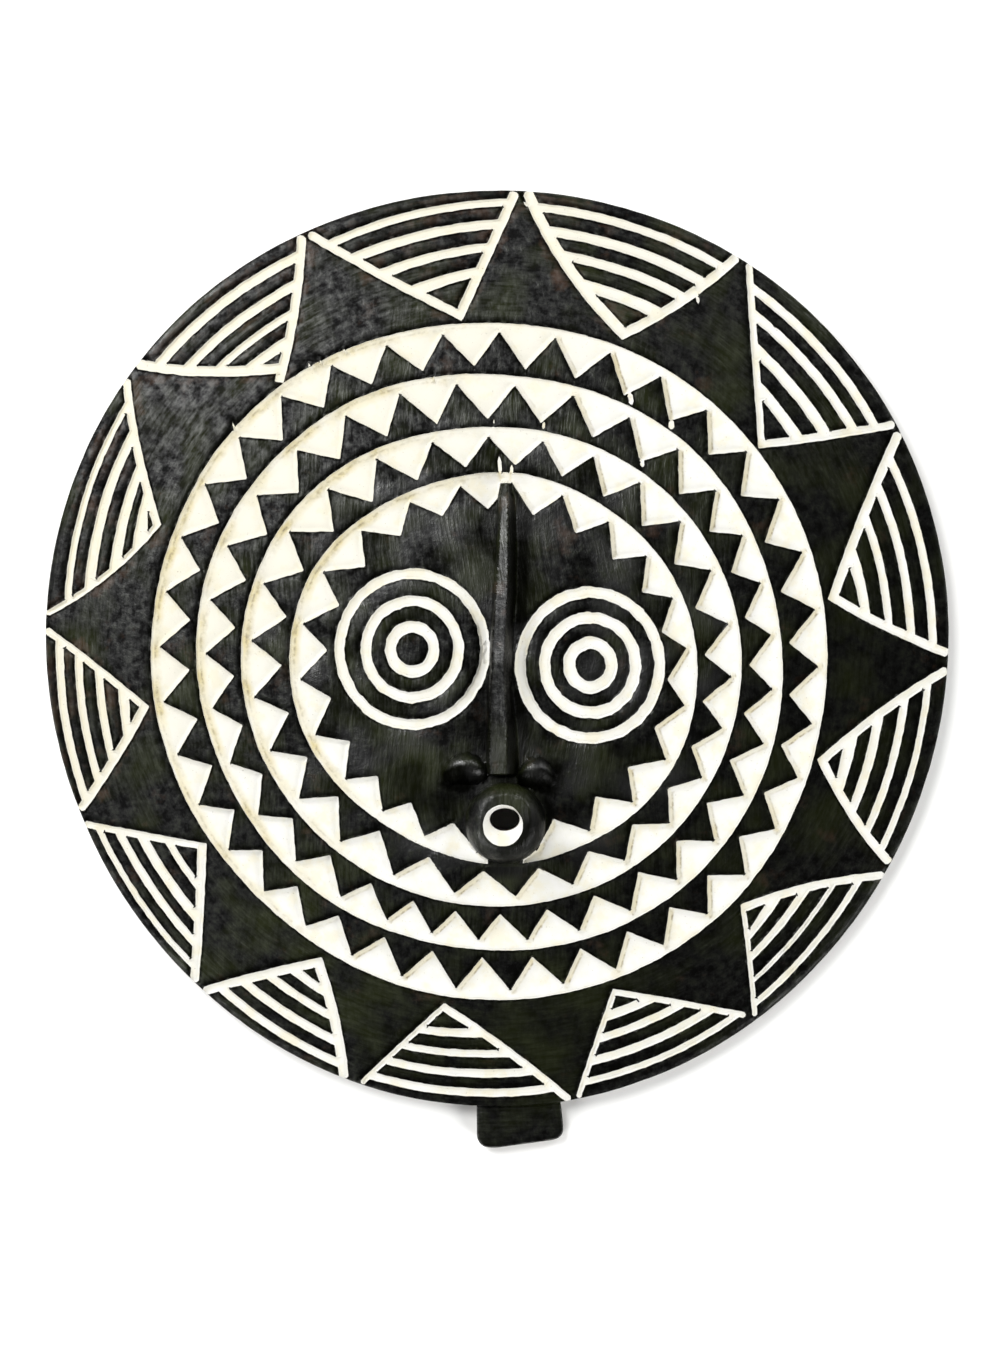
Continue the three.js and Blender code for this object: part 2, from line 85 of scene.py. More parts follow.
# The hatched notches between the rays, seen from the middle of the sun: the direction and distance of the
# point; the directions, bows, widths and gaps to the rim of the two sides; how far the grooves lean; each
# groove's distance in from the rim and its width; and the length of the stem at the point, if there is one
SUN = np.array([-2.9, 2.6])
NOTCHES = [
    (11, 188.7, (0.8, 30.2), (1.7, 1.2), (5.4, 5.7), (1.2, 2.7), 3,
     ((10.8, 5), (23.1, 5.2), (35.4, 4.8), (48.2, 6))),
    (39, 189.5, (30.3, 57.8), (1, 0.1), (4.9, 4.3), (1.6, 1.2), -1,
     ((11, 5.5), (22.6, 5.8), (37.1, 6.8), (51.6, 6.8))),
    (68.2, 192.9, (58.4, 86.4), (3.1, 5), (5.8, 6.5), (1.2, 1.8), -1,
     ((9.4, 5.2), (22.1, 6.2), (34.6, 5.8), (48.9, 7.2))),
    (95, 190.2, (86.6, 113.5), (0.3, 1.2), (5.7, 5.3), (1.9, 3.7), 5,
     ((9.6, 4.8), (21.9, 5.8), (35, 5.5), (48.9, 6.2))),
    (125.2, 197.2, (113.4, 140.4), (2, 3.3), (5.6, 6.1), (2.8, 1.2), -1,
     ((10.5, 6), (24.1, 5.8), (37.1, 4.8), (49.1, 6.2)), 6),
    (157, 198.6, (141.6, 173.9), (-2.1, 4.4), (5, 3.8), (1.8, 1.2), 3,
     ((10.4, 4.2), (21.8, 6), (34.2, 6), (44.4, 6.2))),
    (187, 190.8, (175.1, 200), (1, 1.3), (4.3, 5.3), (1.2, 2.2), -2,
     ((7, 5), (17.4, 4.8), (28.4, 4.8), (40.6, 5.8))),
    (212, 186.1, (200.9, 227.4), (-0.3, 0.6), (4.3, 5.4), (1.2, 1.9), 0,
     ((6.6, 3.8), (16.2, 5), (26.4, 5.8), (38, 4.5))),
    (239.8, 187.1, (228, 251), (0.7, 2.1), (5.4, 6), (1.2, 1.2), -1,
     ((7.6, 5.2), (18.5, 5.5), (30, 5), (40.5, 5.5))),
    (262, 188.7, (252.3, 280.6), (0.4, 1.5), (3.4, 4.8), (1.2, 1.7), 2,
     ((7.8, 5), (18.5, 5), (29.2, 4.5), (40.2, 5))),
    (290.4, 191.3, (280.9, 306.2), (0.3, 0.4), (3.5, 3.9), (1.5, 7), 0,
     ((8.9, 4.2), (19.4, 5.2), (30.6, 4.8), (41.2, 5.5))),
    (315.9, 191, (306.4, 332.2), (-0.5, 3.2), (3.3, 4.9), (3, 1.7), 3,
     ((9.5, 4), (20.2, 3), (31, 4.5), (41, 5))),
    (343.7, 187.1, (332.9, 359.9), (2.7, 2.2), (5.3, 5.3), (2, 2), 2,
     ((9.6, 4.2), (21.4, 4.8), (34, 5.5), (46, 6.5))),
]

CAP_FROM = 0.985

# Slips of the knife that ran white into the standing wood: two ends and a width
SLIPS = [
    (72.9, 153.3, 74.6, 145, 3.4), (96, 138.9, 96.3, 131.6, 3.4), (79.8, 117, 80.3, 110.6, 2.8),
    (25.2, 131.6, 26, 136.8, 2), (7.4, 104.5, 7.9, 113.5, 2.2), (1.7, 105.5, 1, 118.6, 2.4),
    (-34.3, 157.5, -35.6, 162.5, 1.8), (-146.6, 137.5, -144.8, 128.6, 1.5), (-104.6, 169.9, -102.6, 164, 1.5),
    (-98.3, 172.6, -96.3, 166.6, 1.4), (-85.4, 178.6, -83.7, 173, 1.4), (-1.8, 133.2, -1.8, 138.5, 1.2),
    (110.6, 209, 111.6, 201.6, 2.2), (14.2, 259.6, 17.6, 256, 1.6),
]

EYES = [
    dict(x=-46.8, y=10.9, tall=1.04, bands=((43.0, 37.0), (28.7, 22.4), (15.2, 8.5))),
    dict(x=51.2, y=2.0, tall=1.045, bands=((41.7, 35.2), (28.4, 21.7), (15.2, 8.2))),
]

# The nose, from the brow down: height up the face, left shoulder, crest, right foot and rise
NOSE = np.array([
    (102.4, 3.2, 5.2, 7.5, 3.5), (93.5, 1.5, 5.1, 10, 7.5), (68.8, 0.7, 5.1, 11, 9),
    (43.8, -1, 4.9, 10.8, 9.5), (21.6, -2.4, 3.7, 9.3, 10), (0, -3, 2.8, 8.4, 10.5),
    (-12, -4, 3.5, 8.4, 11), (-34, -4.4, 4.3, 11, 12.5), (-52, -4.8, 4.3, 12, 13.5),
    (-57.5, -4, 4.3, 11.5, 10.5),
])
NOSE_WALL = 1.5
SHOULDER_SHARE = 0.85
CREST_WIDTH = 0.6
NOSTRILS = [(-17.5, -53.0, 12.5), (21.5, -55.0, 10.5)]
NOSTRIL_ABOVE = 6.5
NOSTRIL_BELOW = 10.5
NOSTRIL_ARCH = 4.5
NOSTRIL_RISE = 9.5

MOUTH = np.array([4.5, -84.8])
MOUTH_RADIUS = 22.5
MOUTH_RISE = 17.0
MOUTH_TOP_RADIUS = 12.5
LIP = np.array([3.1, -85.9, 11.1, 11.4])
LIP_SLOPE = 5.0
HOLE = np.array([4.1, -82.7, 8.3, 6.3])
CHIN_HALF_WIDTH = 9.7

STUB_OUTLINE = [(-11.6, -228), (-11.3, -262), (-8, -265.6), (-1.8, -266.3), (33, -261.5), (36.6, -258.8),
                (36.9, -255.5), (33.9, -228)]
STUB_BACK = 1.5
STUB_FRONT = 11.5
STUB_ROUNDING = 2.0

# Where hands have worn the stain brown: place and radius. And how far from the hatching the bars of the upper
# left notches are browned, as painted sheen
HANDLED = [(-101, 230, 13), (-15, 94, 8), (38, 80, 10), (-1, -53, 6), (1.5, 43, 5), (3, 31, 3.5), (1, 13, 3)]
BROWN_SHEEN_REACH = 4.5

HOLLOW_RADII = [124, 116, 103, 82, 50, 0]
HOLLOW_HEIGHTS = [0, 7, 14, 19.5, 23, 24.5]

# Each kind of cut: how deep it goes, how far in its wall meets the floor, and how much of the depth the
# knife took straight down at the edge
CUT_DEPTH = dict(ring=2.8, tooth=2.8, hatch=1.5, eye=1.7, slip=1.0, mound=2.8)
WALL_WIDTH = dict(ring=6.5, tooth=2.3, hatch=1.4, eye=1.5, slip=0.6, mound=1.3)
STEEP_SHARE = dict(ring=0.45, tooth=0.55, hatch=0.6, eye=0.6, slip=0.6, mound=0.9)
STEEP_WIDTH = 0.6

# How far a hand-held blade strays from the line, and shakes more round the eyes
SWAY = 0.28
SHAKE = 0.3
EYE_SHAKE = 0.62

# The way a wall faces when it is turned from the light, where shade is painted on it, and the sides of an
# edge, of the disc, of the nose and nostrils, and of the mouth, that are darkened as painted shade
TURNED_FROM_LIGHT = np.array([0.95, -0.3])
UPPER_LEFT = np.array([-0.71, 0.71])
LOWER_RIGHT = np.array([0.9, -0.43])
RIGHT_SIDE = np.array([0.9, -0.4])
UNDERSIDE = np.array([0.1, -1])
MOUTH_SIDE = np.array([0.85, -0.5])

# Spacing of the mesh: along lines, over the open wood, and of the rows into a cut and out from its edge
EDGE_STEP = 2.0
FIELD_STEP = 3.8
WALL_ROWS = dict(ring=(0.6, 1.7, 2.6, 3.6, 6.5), tooth=(0.6, 1.8, 2.6, 3.4), hatch=(0.6, 1.4),
                 eye=(0.6, 1.5), slip=(0.6,))
STANDING_ROWS = (-0.5, -1.5)
FAR = 1e9

# The finishes, in the order of the mask's material slots. The last is a darker copy of the adzed wood in the
# mouth
# hole: painted shade
STAINED, PAINTED, ADZED, SHADED_HOLE = range(4)


def smooth_noise(points, grain, seed):
    """Values from about -1 to 1 that change over about grain millimetres. Each seed is another pattern."""
    return np.array([noise.noise(Vector((x / grain, y / grain, seed))) for x, y in points])


def grows(values, start, span):
    """0 up to the start, 1 a span beyond it, and straight between."""
    return np.clip((values - start) / span, 0, 1)


def by_hand(points, sway=SWAY, shake=SHAKE):
    """The points as a hand-held blade follows them."""
    moved = np.array(points, float)
    for axis in (0, 1):
        moved[:, axis] += sway * smooth_noise(points, 31.0, 3.7 + 5 * axis)
        moved[:, axis] += shake * smooth_noise(points, 4.6, 41.3 + 5 * axis)
        moved[:, axis] += 0.5 * shake * smooth_noise(points, 2.2, 83.9 + 5 * axis)
    return moved


def walk(corners, step, closed=True):
    """Points along the straight lines through the corners, at most step apart, with the corners kept."""
    corners = np.array(corners, float)
    starts, ends = (corners, np.roll(corners, -1, axis=0)) if closed else (corners[:-1], corners[1:])
    runs = []
    for start, end in zip(starts, ends):
        count = max(1, math.ceil(np.linalg.norm(end - start) / step))
        runs.append(start + (end - start) * (np.arange(count) / count)[:, None])
    if not closed:
        runs.append(corners[-1:])
    return np.concatenate(runs)


def pairs(x, y):
    return np.stack([x, y], axis=-1)


def around(x, y, angle, rx, ry=None):
    """Points at some angles on an ellipse, or on a circle where only one radius is given."""
    return pairs(x + rx * np.cos(angle), y + (rx if ry is None else ry) * np.sin(angle))


def ellipse(x, y, rx, ry, step=1.6):
    count = max(24, math.ceil(math.pi * (rx + ry) / step))
    return around(x, y, np.arange(count) * 2 * math.pi / count, rx, ry)


def rim_radius(angle):
    """The plank was cut round by hand, so its radius swells a little with the direction."""
    return DISC_RADIUS - 1.94 * np.cos(2 * angle) + 1.78 * (np.sin(angle) + np.sin(3 * angle))


def rim_points(angles, inset):
    return around(0, DISC_Y, angles, rim_radius(angles) - inset)


def rim_inset(points):
    """How far in from the rim each point lies."""
    x, y = points[:, 0], points[:, 1] - DISC_Y
    return rim_radius(np.arctan2(y, x)) - np.hypot(x, y)


def last_share(holds):
    """The largest share from 0 to 1 for which a test still holds."""
    low, high = 0.0, 1.0
    for _ in range(30):
        middle = (low + high) / 2
        low, high = (middle, high) if holds(middle) else (low, middle)
    return low


def edge_radius(ring, angle):
    """How far the ring's outer edge lies from its centre in one direction."""
    swells = enumerate(ring["swells"])
    return ring["radius"] + sum(most * np.cos((k + 2) * angle - math.radians(at)) for k, (most, at) in swells)


def ring_point(ring, angle, radius):
    return around(ring["x"], ring["y"], angle, radius)


def ring_edge(ring):
    count = math.ceil(2 * math.pi * ring["radius"] / EDGE_STEP)
    angle = np.arange(count) * 2 * math.pi / count
    return ring_point(ring, angle, edge_radius(ring, angle))


def teeth_corners(ring, following):
    """Tips just inside the ring's edge, and valleys just outside the following ring's edge or on the face's."""
    even = ring["first"] + 360 * np.arange(ring["teeth"] + 1) / ring["teeth"]
    tips = np.radians(even + sum(most * np.cos(np.radians((k + 1) * even - at))
                                 for k, (most, at) in enumerate(ring["drifts"])))
    between = (tips[:-1] + tips[1:]) / 2
    most, at = ring["lean_swing"]
    valleys = between + np.radians(ring["lean"] + most * np.cos(2 * between - math.radians(at)))
    gap = 0 if following is FACE else BASE_LINE
    radii = []
    for angle in valleys:
        def inside_following(share):
            x, y = ring_point(ring, angle, share * ring["radius"]) - (following["x"], following["y"])
            return math.hypot(x, y) < edge_radius(following, math.atan2(y, x))

        radii.append(last_share(inside_following) * ring["radius"] + gap)
    tip_points = ring_point(ring, tips[:-1], edge_radius(ring, tips[:-1]) - ring["tip_gap"])
    return np.stack([tip_points, ring_point(ring, valleys, np.array(radii))], axis=1).reshape(-1, 2)


def meet(a, b, c, d):
    """Where the line through a and b meets the line through c and d."""
    share = np.linalg.solve(np.stack([b - a, c - d], axis=1), c - a)[0]
    return a + share * (b - a)


def notch(at, radius, ends, bows, widths, gaps, lean, grooves, stem=0):
    """The sunk outline of one notch between two rays, and the black bars that stand in it."""

    def from_sun(degrees, reach):
        return SUN + reach * np.array([math.cos(math.radians(degrees)), math.sin(math.radians(degrees))])

    point = from_sun(at, radius)

    def side_line(side):
        """A side line: share runs from 0 at the notch point to 1 at the rim, and across is how far inside
        the line's outer edge a point lies."""
        far = 2 * DISC_RADIUS
        reach = last_share(lambda share: rim_inset(from_sun(ends[side], share * far)[None])[0] > gaps[side])
        along = from_sun(ends[side], reach * far) - point
        turn = 2 * side - 1
        out = np.array([-along[1] * turn, along[0] * turn]) / np.linalg.norm(along)
        return lambda share, across: point + share * along + (
            bows[side] * 4 * share * (1 - share) - across) * out

    first, last = side_line(0), side_line(1)
    crossing = meet(first(0, widths[0]), first(0.15, widths[0]), last(0, widths[1]), last(0.15, widths[1]))

    def arc(inset):
        """A line across the notch at one distance in from the rim."""
        angles = []
        for side, line in enumerate((first, last)):
            here = inset + lean * (side - 0.5)
            rimwards = last_share(lambda share: rim_inset(line(1 - share, widths[side])[None])[0] < here)
            x, y = line(1 - rimwards, widths[side])
            angles.append(math.atan2(y - DISC_Y, x))
        span = (angles[1] - angles[0]) % (2 * math.pi)
        share = np.linspace(0, 1, max(1, math.ceil(span * DISC_RADIUS / EDGE_STEP)) + 1)
        return rim_points(angles[0] + span * share, inset + lean * (share - 0.5))

    def cap(side, line):
        """The rounded end of a side line at the rim."""
        width = widths[side]
        return [line(CAP_FROM, 0), line(1, 0.3 * width), line(1, 0.7 * width), line(CAP_FROM, width)]

    foot = [point]
    if stem:
        back = first(0, 0) - first(0.1, 0)
        back *= stem / np.linalg.norm(back)
        foot = [first(0, 0) + back, first(0, widths[0]) + back,
                meet(first(0, widths[0]), first(0.1, widths[0]), last(0, 0), last(0.1, 0))]
    shares = np.linspace(0, CAP_FROM, 24)[1:-1]
    edges = [inset + side * width / 2 for inset, width in grooves for side in (-1, 1)]
    outline = np.array([*foot, *(last(share, 0) for share in shares), *cap(1, last), *arc(edges[0])[::-1],
                        *cap(0, first)[::-1], *(first(share, 0) for share in shares[::-1])])
    bars = []
    for i in range(1, len(edges), 2):
        inner = arc(edges[i + 1])[::-1] if i + 1 < len(edges) else crossing[None]
        bars.append(walk(np.concatenate([arc(edges[i]), inner]), EDGE_STEP))
    return walk(outline, EDGE_STEP), bars


def slip(x, y, end_x, end_y, width):
    """A short stroke that is widest in the middle."""
    start, along = np.array([x, y]), np.array([end_x - x, end_y - y])
    out = np.array([-along[1], along[0]]) / np.linalg.norm(along) * width / 2
    return np.array([start, start + 0.3 * along - out, start + 0.7 * along - out, start + along,
                     start + 0.7 * along + out, start + 0.3 * along + out])


def plan_of_cuts():
    """Every white cut: its kind, its outer edge, the edges of the black shapes that stand in it, and a middle
    that sees both edges whole where there is one."""
    cuts = []

    def add_cut(kind, outer, inner=(), middle=None):
        lines = []
        for line in (outer, *inner):
            line = by_hand(line, shake=EYE_SHAKE if kind == "eye" else SHAKE)
            x, y = line.T
            area = np.sum(x * np.roll(y, -1) - np.roll(x, -1) * y)
            lines.append(line if area > 0 else line[::-1])
        cuts.append(dict(kind=kind, outer=lines[0], inner=lines[1:], middle=middle))

    for ring, following in zip(RINGS, RINGS[1:] + [FACE]):
        teeth = walk(teeth_corners(ring, following), EDGE_STEP)
        add_cut("ring", ring_edge(ring), [teeth], np.array([ring["x"], ring["y"]]))
    for sizes in NOTCHES:
        add_cut("hatch", *notch(*sizes))
    for eye in EYES:
        for radii in eye["bands"]:
            outer, inner = (ellipse(eye["x"], eye["y"], r, r * eye["tall"]) for r in radii)
            add_cut("eye", outer, [inner], np.array([eye["x"], eye["y"]]))
    for sizes in SLIPS:
        add_cut("slip", slip(*sizes))
    return cuts


def inside(points, line, middle=None):
    """Whether each point lies inside a closed line."""
    if middle is not None:
        out = line - middle
        to = points - middle
        edge = np.interp(np.arctan2(to[:, 1], to[:, 0]), np.arctan2(out[:, 1], out[:, 0]), np.hypot(*out.T),
                         period=2 * math.pi)
        return np.hypot(*to.T) < edge
    result = np.zeros(len(points), bool)
    near = np.flatnonzero(np.all((points > line.min(0)) & (points < line.max(0)), axis=1))
    if len(near):
        x, y = points[near, 0][:, None], points[near, 1][:, None]
        (start_x, start_y), (end_x, end_y) = line.T, np.roll(line, -1, axis=0).T
        rise = np.where(end_y == start_y, 1e-12, end_y - start_y)
        crosses = (start_y > y) != (end_y > y)
        beyond = x < start_x + (y - start_y) / rise * (end_x - start_x)
        result[near] = (crosses & beyond).sum(axis=1) % 2 == 1
    return result


def in_disc(points):
    return rim_inset(points) >= -1e-6


def thinned(points, taken, gap):
    """The points that keep at least gap from each other and from the taken ones."""
    cells = {}
    for x, y in taken:
        cells.setdefault((int(x // gap), int(y // gap)), []).append((x, y))
    kept = []
    for x, y in points:
        column, row = int(x // gap), int(y // gap)
        crowd = (q for i in (-1, 0, 1) for j in (-1, 0, 1) for q in cells.get((column + i, row + j), ()))
        if all((x - a) ** 2 + (y - b) ** 2 >= gap * gap for a, b in crowd):
            cells.setdefault((column, row), []).append((x, y))
            kept.append((x, y))
    return np.array(kept).reshape(-1, 2)


def leftwards(line):
    """The direction to the left of a closed line at each of its points."""
    along = np.roll(line, -1, axis=0) - np.roll(line, 1, axis=0)
    along /= np.linalg.norm(along, axis=1)[:, None]
    return pairs(-along[:, 1], along[:, 0])


def beside(line, offset):
    """The closed line moved sideways: to its left for a positive offset."""
    return line + offset * leftwards(line)


def painted(points):
    """Whether each point lies in a white cut."""
    result = np.zeros(len(points), bool)
    for cut in cuts:
        within = np.flatnonzero(inside(points, cut["outer"], cut["middle"]))
        for line in cut["inner"]:
            within = within[~inside(points[within], line, cut["middle"])]
        result[within] = True
    return result


def covered(points):
    """Whether each point lies under the nose or the mouth, which cover the cuts beneath them."""
    return inside(points, nose_edge) | inside(points, mouth_edge)


class Nearest:
    """Distances to a set of lines, measured to points 0.3 mm apart along them. Where between_colours is
    asked for, only those parts count that have white on one side, black on the other and nothing over them."""

    def __init__(self, lines, between_colours=False):
        samples = []
        for line in lines:
            points = walk(line, 0.3)
            if between_colours:
                points = points[painted(beside(points, 0.12)) != painted(beside(points, -0.12))]
                points = points[~covered(points)]
            samples.append(points)
        samples = np.concatenate(samples)
        self.tree = kdtree.KDTree(len(samples))
        for i, (x, y) in enumerate(samples):
            self.tree.insert((x, y, 0), i)
        self.tree.balance()

    def __call__(self, points):
        found = [self.tree.find((x, y, 0)) for x, y in points]
        away = np.array([hit[2] for hit in found])
        towards = points - np.array([hit[0][:2] for hit in found])
        return away, towards / np.maximum(away, 1e-6)[:, None]


def nose_at(y):
    """The left shoulder, crest, right foot and rise of the nose at each height up the face."""
    return [np.interp(-y, -NOSE[:, 0], NOSE[:, column]) for column in (1, 2, 3, 4)]


def nose_outline():
    y = np.linspace(NOSE[0, 0], NOSE[-1, 0], 70)
    left, _, right, _ = nose_at(y)
    return walk(np.concatenate([pairs(left - NOSE_WALL, y), pairs(right, y)[::-1]]), EDGE_STEP)


def mouth_outline():
    """The tube's round foot, with the strip of chin that joins it to the ring below."""
    ring = RINGS[-1]
    chin_y = ring["y"] - edge_radius(ring, -math.pi / 2) - 1.0
    spread = math.asin(CHIN_HALF_WIDTH / MOUTH_RADIUS)
    angles = np.linspace(-math.pi / 2 + spread, 1.5 * math.pi - spread, 90)
    arc = around(*MOUTH, angles, MOUTH_RADIUS)
    chin = [(MOUTH[0] - CHIN_HALF_WIDTH, chin_y), (MOUTH[0] + CHIN_HALF_WIDTH, chin_y)]
    return walk(np.concatenate([arc, chin]), EDGE_STEP)


def nostril_outline(x, y, half):
    angles = np.linspace(0, 2 * math.pi, 40)[:-1]
    across, up = np.cos(angles), np.sin(angles)
    reach = np.where(up > 0, NOSTRIL_ABOVE, NOSTRIL_BELOW)
    return walk(pairs(x + half * across, y + reach * up - NOSTRIL_ARCH * across ** 2), 1.2)


def plank_outline():
    """The edge of the disc with the stub below it, counter-clockwise, worn in a little and chipped."""
    stub = np.array(STUB_OUTLINE, float)
    ends = []
    for outer, inner in ((stub[1], stub[0]), (stub[-2], stub[-1])):
        share = last_share(lambda share: rim_inset((outer + (inner - outer) * share)[None])[0] < 0)
        x, y = outer + (inner - outer) * share
        ends.append(math.atan2(y - DISC_Y, x))
    left, right = ends[0] + 2 * math.pi, ends[1]
    disc = rim_points(np.linspace(right, left, math.ceil((left - right) * DISC_RADIUS / EDGE_STEP)), 0.0)
    wear = 0.2 + np.clip(smooth_noise(disc, 55, 8.1) + 0.2, 0, 1) * 0.5
    chips = np.clip(smooth_noise(disc, 9, 2.2), 0, 1) * 0.35
    inward = np.array([0, DISC_Y]) - disc
    disc += inward / np.linalg.norm(inward, axis=1)[:, None] * (wear + chips)[:, None]
    below = walk(np.concatenate([disc[-1:], stub[1:-1], disc[:1]]), EDGE_STEP, closed=False)[1:-1]
    for _ in range(3):
        below[1:-1] = (below[:-2] + 2 * below[1:-1] + below[2:]) / 4
    return np.concatenate([disc, below])


cuts = plan_of_cuts()
cut_lines = {kind: [] for kind in ("ring", "tooth", "hatch", "eye", "slip")}
for cut in cuts:
    cut_lines[cut["kind"]].append(cut["outer"])
    cut_lines["tooth" if cut["kind"] == "ring" else cut["kind"]] += cut["inner"]
outline = plank_outline()
nose_edge = nose_outline()
mouth_edge = mouth_outline()
nostril_edges = [nostril_outline(*place) for place in NOSTRILS]
lip_edge = by_hand(ellipse(*LIP, 1.1), 0.3, 0.25)
hole_edge = ellipse(*HOLE, 1.1)

nearest = {kind: Nearest(lines, between_colours=True) for kind, lines in cut_lines.items()}
nearest["mound"] = Nearest([nose_edge, mouth_edge] + nostril_edges)
nearest_outline = Nearest([outline])
all_cut_lines = [line for lines in cut_lines.values() for line in lines]
nearest_edge = Nearest(all_cut_lines)


def sunk(points):
    return painted(points) & ~covered(points)


def front_points():
    """Points for the front besides the edges: rows along every wall, then an uneven grid over the rest."""
    rows = []

    def wall_rows(line, side, kind):
        for step in WALL_ROWS[kind] + STANDING_ROWS:
            row = beside(line, side * step)
            away, _ = nearest_edge(row)
            rows.append(row[away > 0.85 * abs(step)])

    for cut in cuts:
        wall_rows(cut["outer"], 1, cut["kind"])
        for line in cut["inner"]:
            wall_rows(line, -1, "tooth" if cut["kind"] == "ring" else cut["kind"])

    # Round the feet of the nose, mouth and nostrils, the lip and its hole, and the shoulder of the mouth tube
    for line, offsets in ((nose_edge, (-1.3, 1.2)), (mouth_edge, (-1.3, -0.6, 0.4, 1.0, 2.0, 3.4))):
        rows += [beside(line, -offset) for offset in offsets]
    for line in nostril_edges:
        rows += [beside(line, offset) for offset in (0.5, 1.2, 2.2, 3.4)]
    for oval in (HOLE, LIP):
        rows += [ellipse(*(oval + [0, 0, wider, wider]), 1.5) for wider in (0.7, 1.5)]
    rows += [ellipse(*MOUTH, radius, radius, 1.5) for radius in (15.2, 17.0, 19.0)]

    # Across the foot of the nose, and up along its shoulder, crest and flanks
    for below in (0.0, 0.7, 1.4):
        across = np.arange(NOSE[-1, 1], NOSE[-1, 3], 1.1)
        rows.append(pairs(across, np.full(len(across), NOSE[-1, 0] - below)))
    crest_y = np.arange(NOSE[-1, 0], NOSE[0, 0], 1.5)
    shoulder, crest, foot, _ = nose_at(crest_y)
    for x in (shoulder, shoulder - 0.7, shoulder + 0.9, crest, crest + CREST_WIDTH, (crest + foot) / 2):
        rows.append(pairs(x, crest_y))

    # Just inside the rim, and along it where the stub leaves the disc
    rows += [beside(outline, offset) for offset in (0.25, 0.8, 1.7, 3.0)]
    over_stub = np.linspace(math.radians(265), math.radians(282), 50)
    rows += [rim_points(over_stub, inset) for inset in (-1.6, -0.5, 0.0, 0.3, 0.9, 1.8, 3.0)]
    rows = np.concatenate(rows)

    def grid(step, low, high, seed):
        random = np.random.default_rng(seed)
        x, y = np.meshgrid(np.arange(low[0], high[0], step), np.arange(low[1], high[1], step * 0.866))
        x = x + (np.arange(len(x)) % 2)[:, None] * step / 2
        points = pairs(x.ravel(), y.ravel())
        return points + random.uniform(-0.22, 0.22, points.shape) * step

    fine = np.concatenate([grid(1.4, (-8, -62), (16, 106), 11), grid(1.5, (-36, -112), (38, -42), 12)])
    coarse = grid(FIELD_STEP, (-256, -268), (256, 268), 13)
    fine = fine[nearest_edge(fine)[0] > 0.9]
    coarse = coarse[nearest_edge(coarse)[0] > 1.3]
    points = np.concatenate([rows, fine, coarse])
    away, _ = nearest_outline(points)
    return points[inside(points, outline) & (away > 0.2) & ~inside(points, hole_edge)]


def net(lines, points):
    """A net of triangles over the plank with the closed lines as edges in it. Returns its points, triangles
    and, for each line, the numbers of its points."""
    corners = np.concatenate([*lines, points])
    firsts = itertools.accumulate(map(len, lines), initial=0)
    loops = [range(first, first + len(line)) for first, line in zip(firsts, lines)]
    edges = [edge for loop in loops for edge in zip(loop, (*loop[1:], loop[0]))]
    made = delaunay_2d_cdt([Vector(p) for p in corners], edges, [], 0, 1e-4, True)
    places, triangles = np.array([tuple(v) for v in made[0]]), np.array(made[2])
    number = {source: place for place, sources in enumerate(made[3]) for source in sources}
    numbers = [np.array([number[i] for i in loop]) for loop in loops]
    middles = places[triangles].mean(axis=1)
    kept = inside(middles, outline) & ~inside(middles, hole_edge, HOLE[:2])
    return places, triangles[kept], numbers


def rounding(inset, radius):
    """How far a rounded edge has dropped at a distance in from it."""
    left = np.clip(radius - np.maximum(inset, 0), 0, radius)
    return radius - np.sqrt(radius * radius - left * left)


def dome(points):
    share = np.hypot(points[:, 0], points[:, 1] - DISC_Y) / DISC_RADIUS
    return RIM_THICKNESS + np.maximum(0, DOME_RISE * (1 - share * share))


def nose_height(points):
    x, y = points.T
    left, crest, right, rise = nose_at(y)
    across = x - left
    wall = SHOULDER_SHARE * (1 + across / NOSE_WALL)
    facet = SHOULDER_SHARE + (1 - SHOULDER_SHARE) * across / (crest - left)
    flank = (right - x) / (right - crest - CREST_WIDTH)
    slope = np.clip(np.minimum(np.minimum(wall, facet), flank), 0, 1)
    below_top = (NOSE[0, 0] - y) / 2.5
    above_foot = (y - NOSE[-1, 0]) / 1.2
    return rise * slope * np.clip(1 + np.minimum(below_top, above_foot), 0, 1)


def nostril_height(points):
    height = np.zeros(len(points))
    for x, y, half in NOSTRILS:
        across = (points[:, 0] - x) / half
        up = points[:, 1] - y + NOSTRIL_ARCH * across ** 2
        up = up / np.where(up > 0, NOSTRIL_ABOVE, NOSTRIL_BELOW)
        height = np.maximum(height, NOSTRIL_RISE * np.sqrt(np.clip(1 - across ** 2 - up ** 2, 0, 1)) - 1)
    return height


def beyond(points, oval):
    """How far out the points lie from an oval's centre, 1 on the oval itself."""
    return np.hypot(*((points - oval[:2]) / oval[2:]).T)


def mouth_height(points):
    radius = np.hypot(*(points - MOUTH).T)
    width = MOUTH_RADIUS - MOUTH_TOP_RADIUS
    outside = np.sqrt(np.clip(1 - (np.clip(radius - MOUTH_TOP_RADIUS, 0, width) / width) ** 2, 0, 1))
    from_hole = np.clip(beyond(points, HOLE) - 1, 0, None)
    to_lip = np.clip(1 - beyond(points, LIP), 0, None)
    funnel = to_lip / np.maximum(to_lip + from_hole, 1e-6)
    return np.where(radius < MOUTH_RADIUS, MOUTH_RISE * outside - LIP_SLOPE * funnel, 0)


def upper_left(points):
    """From 0 to 1 towards the upper left of the disc, where the hatching bars get painted sheen and its cuts a
    cream tint.
    """
    return grows(points[:, 1] - points[:, 0], 60, 120)


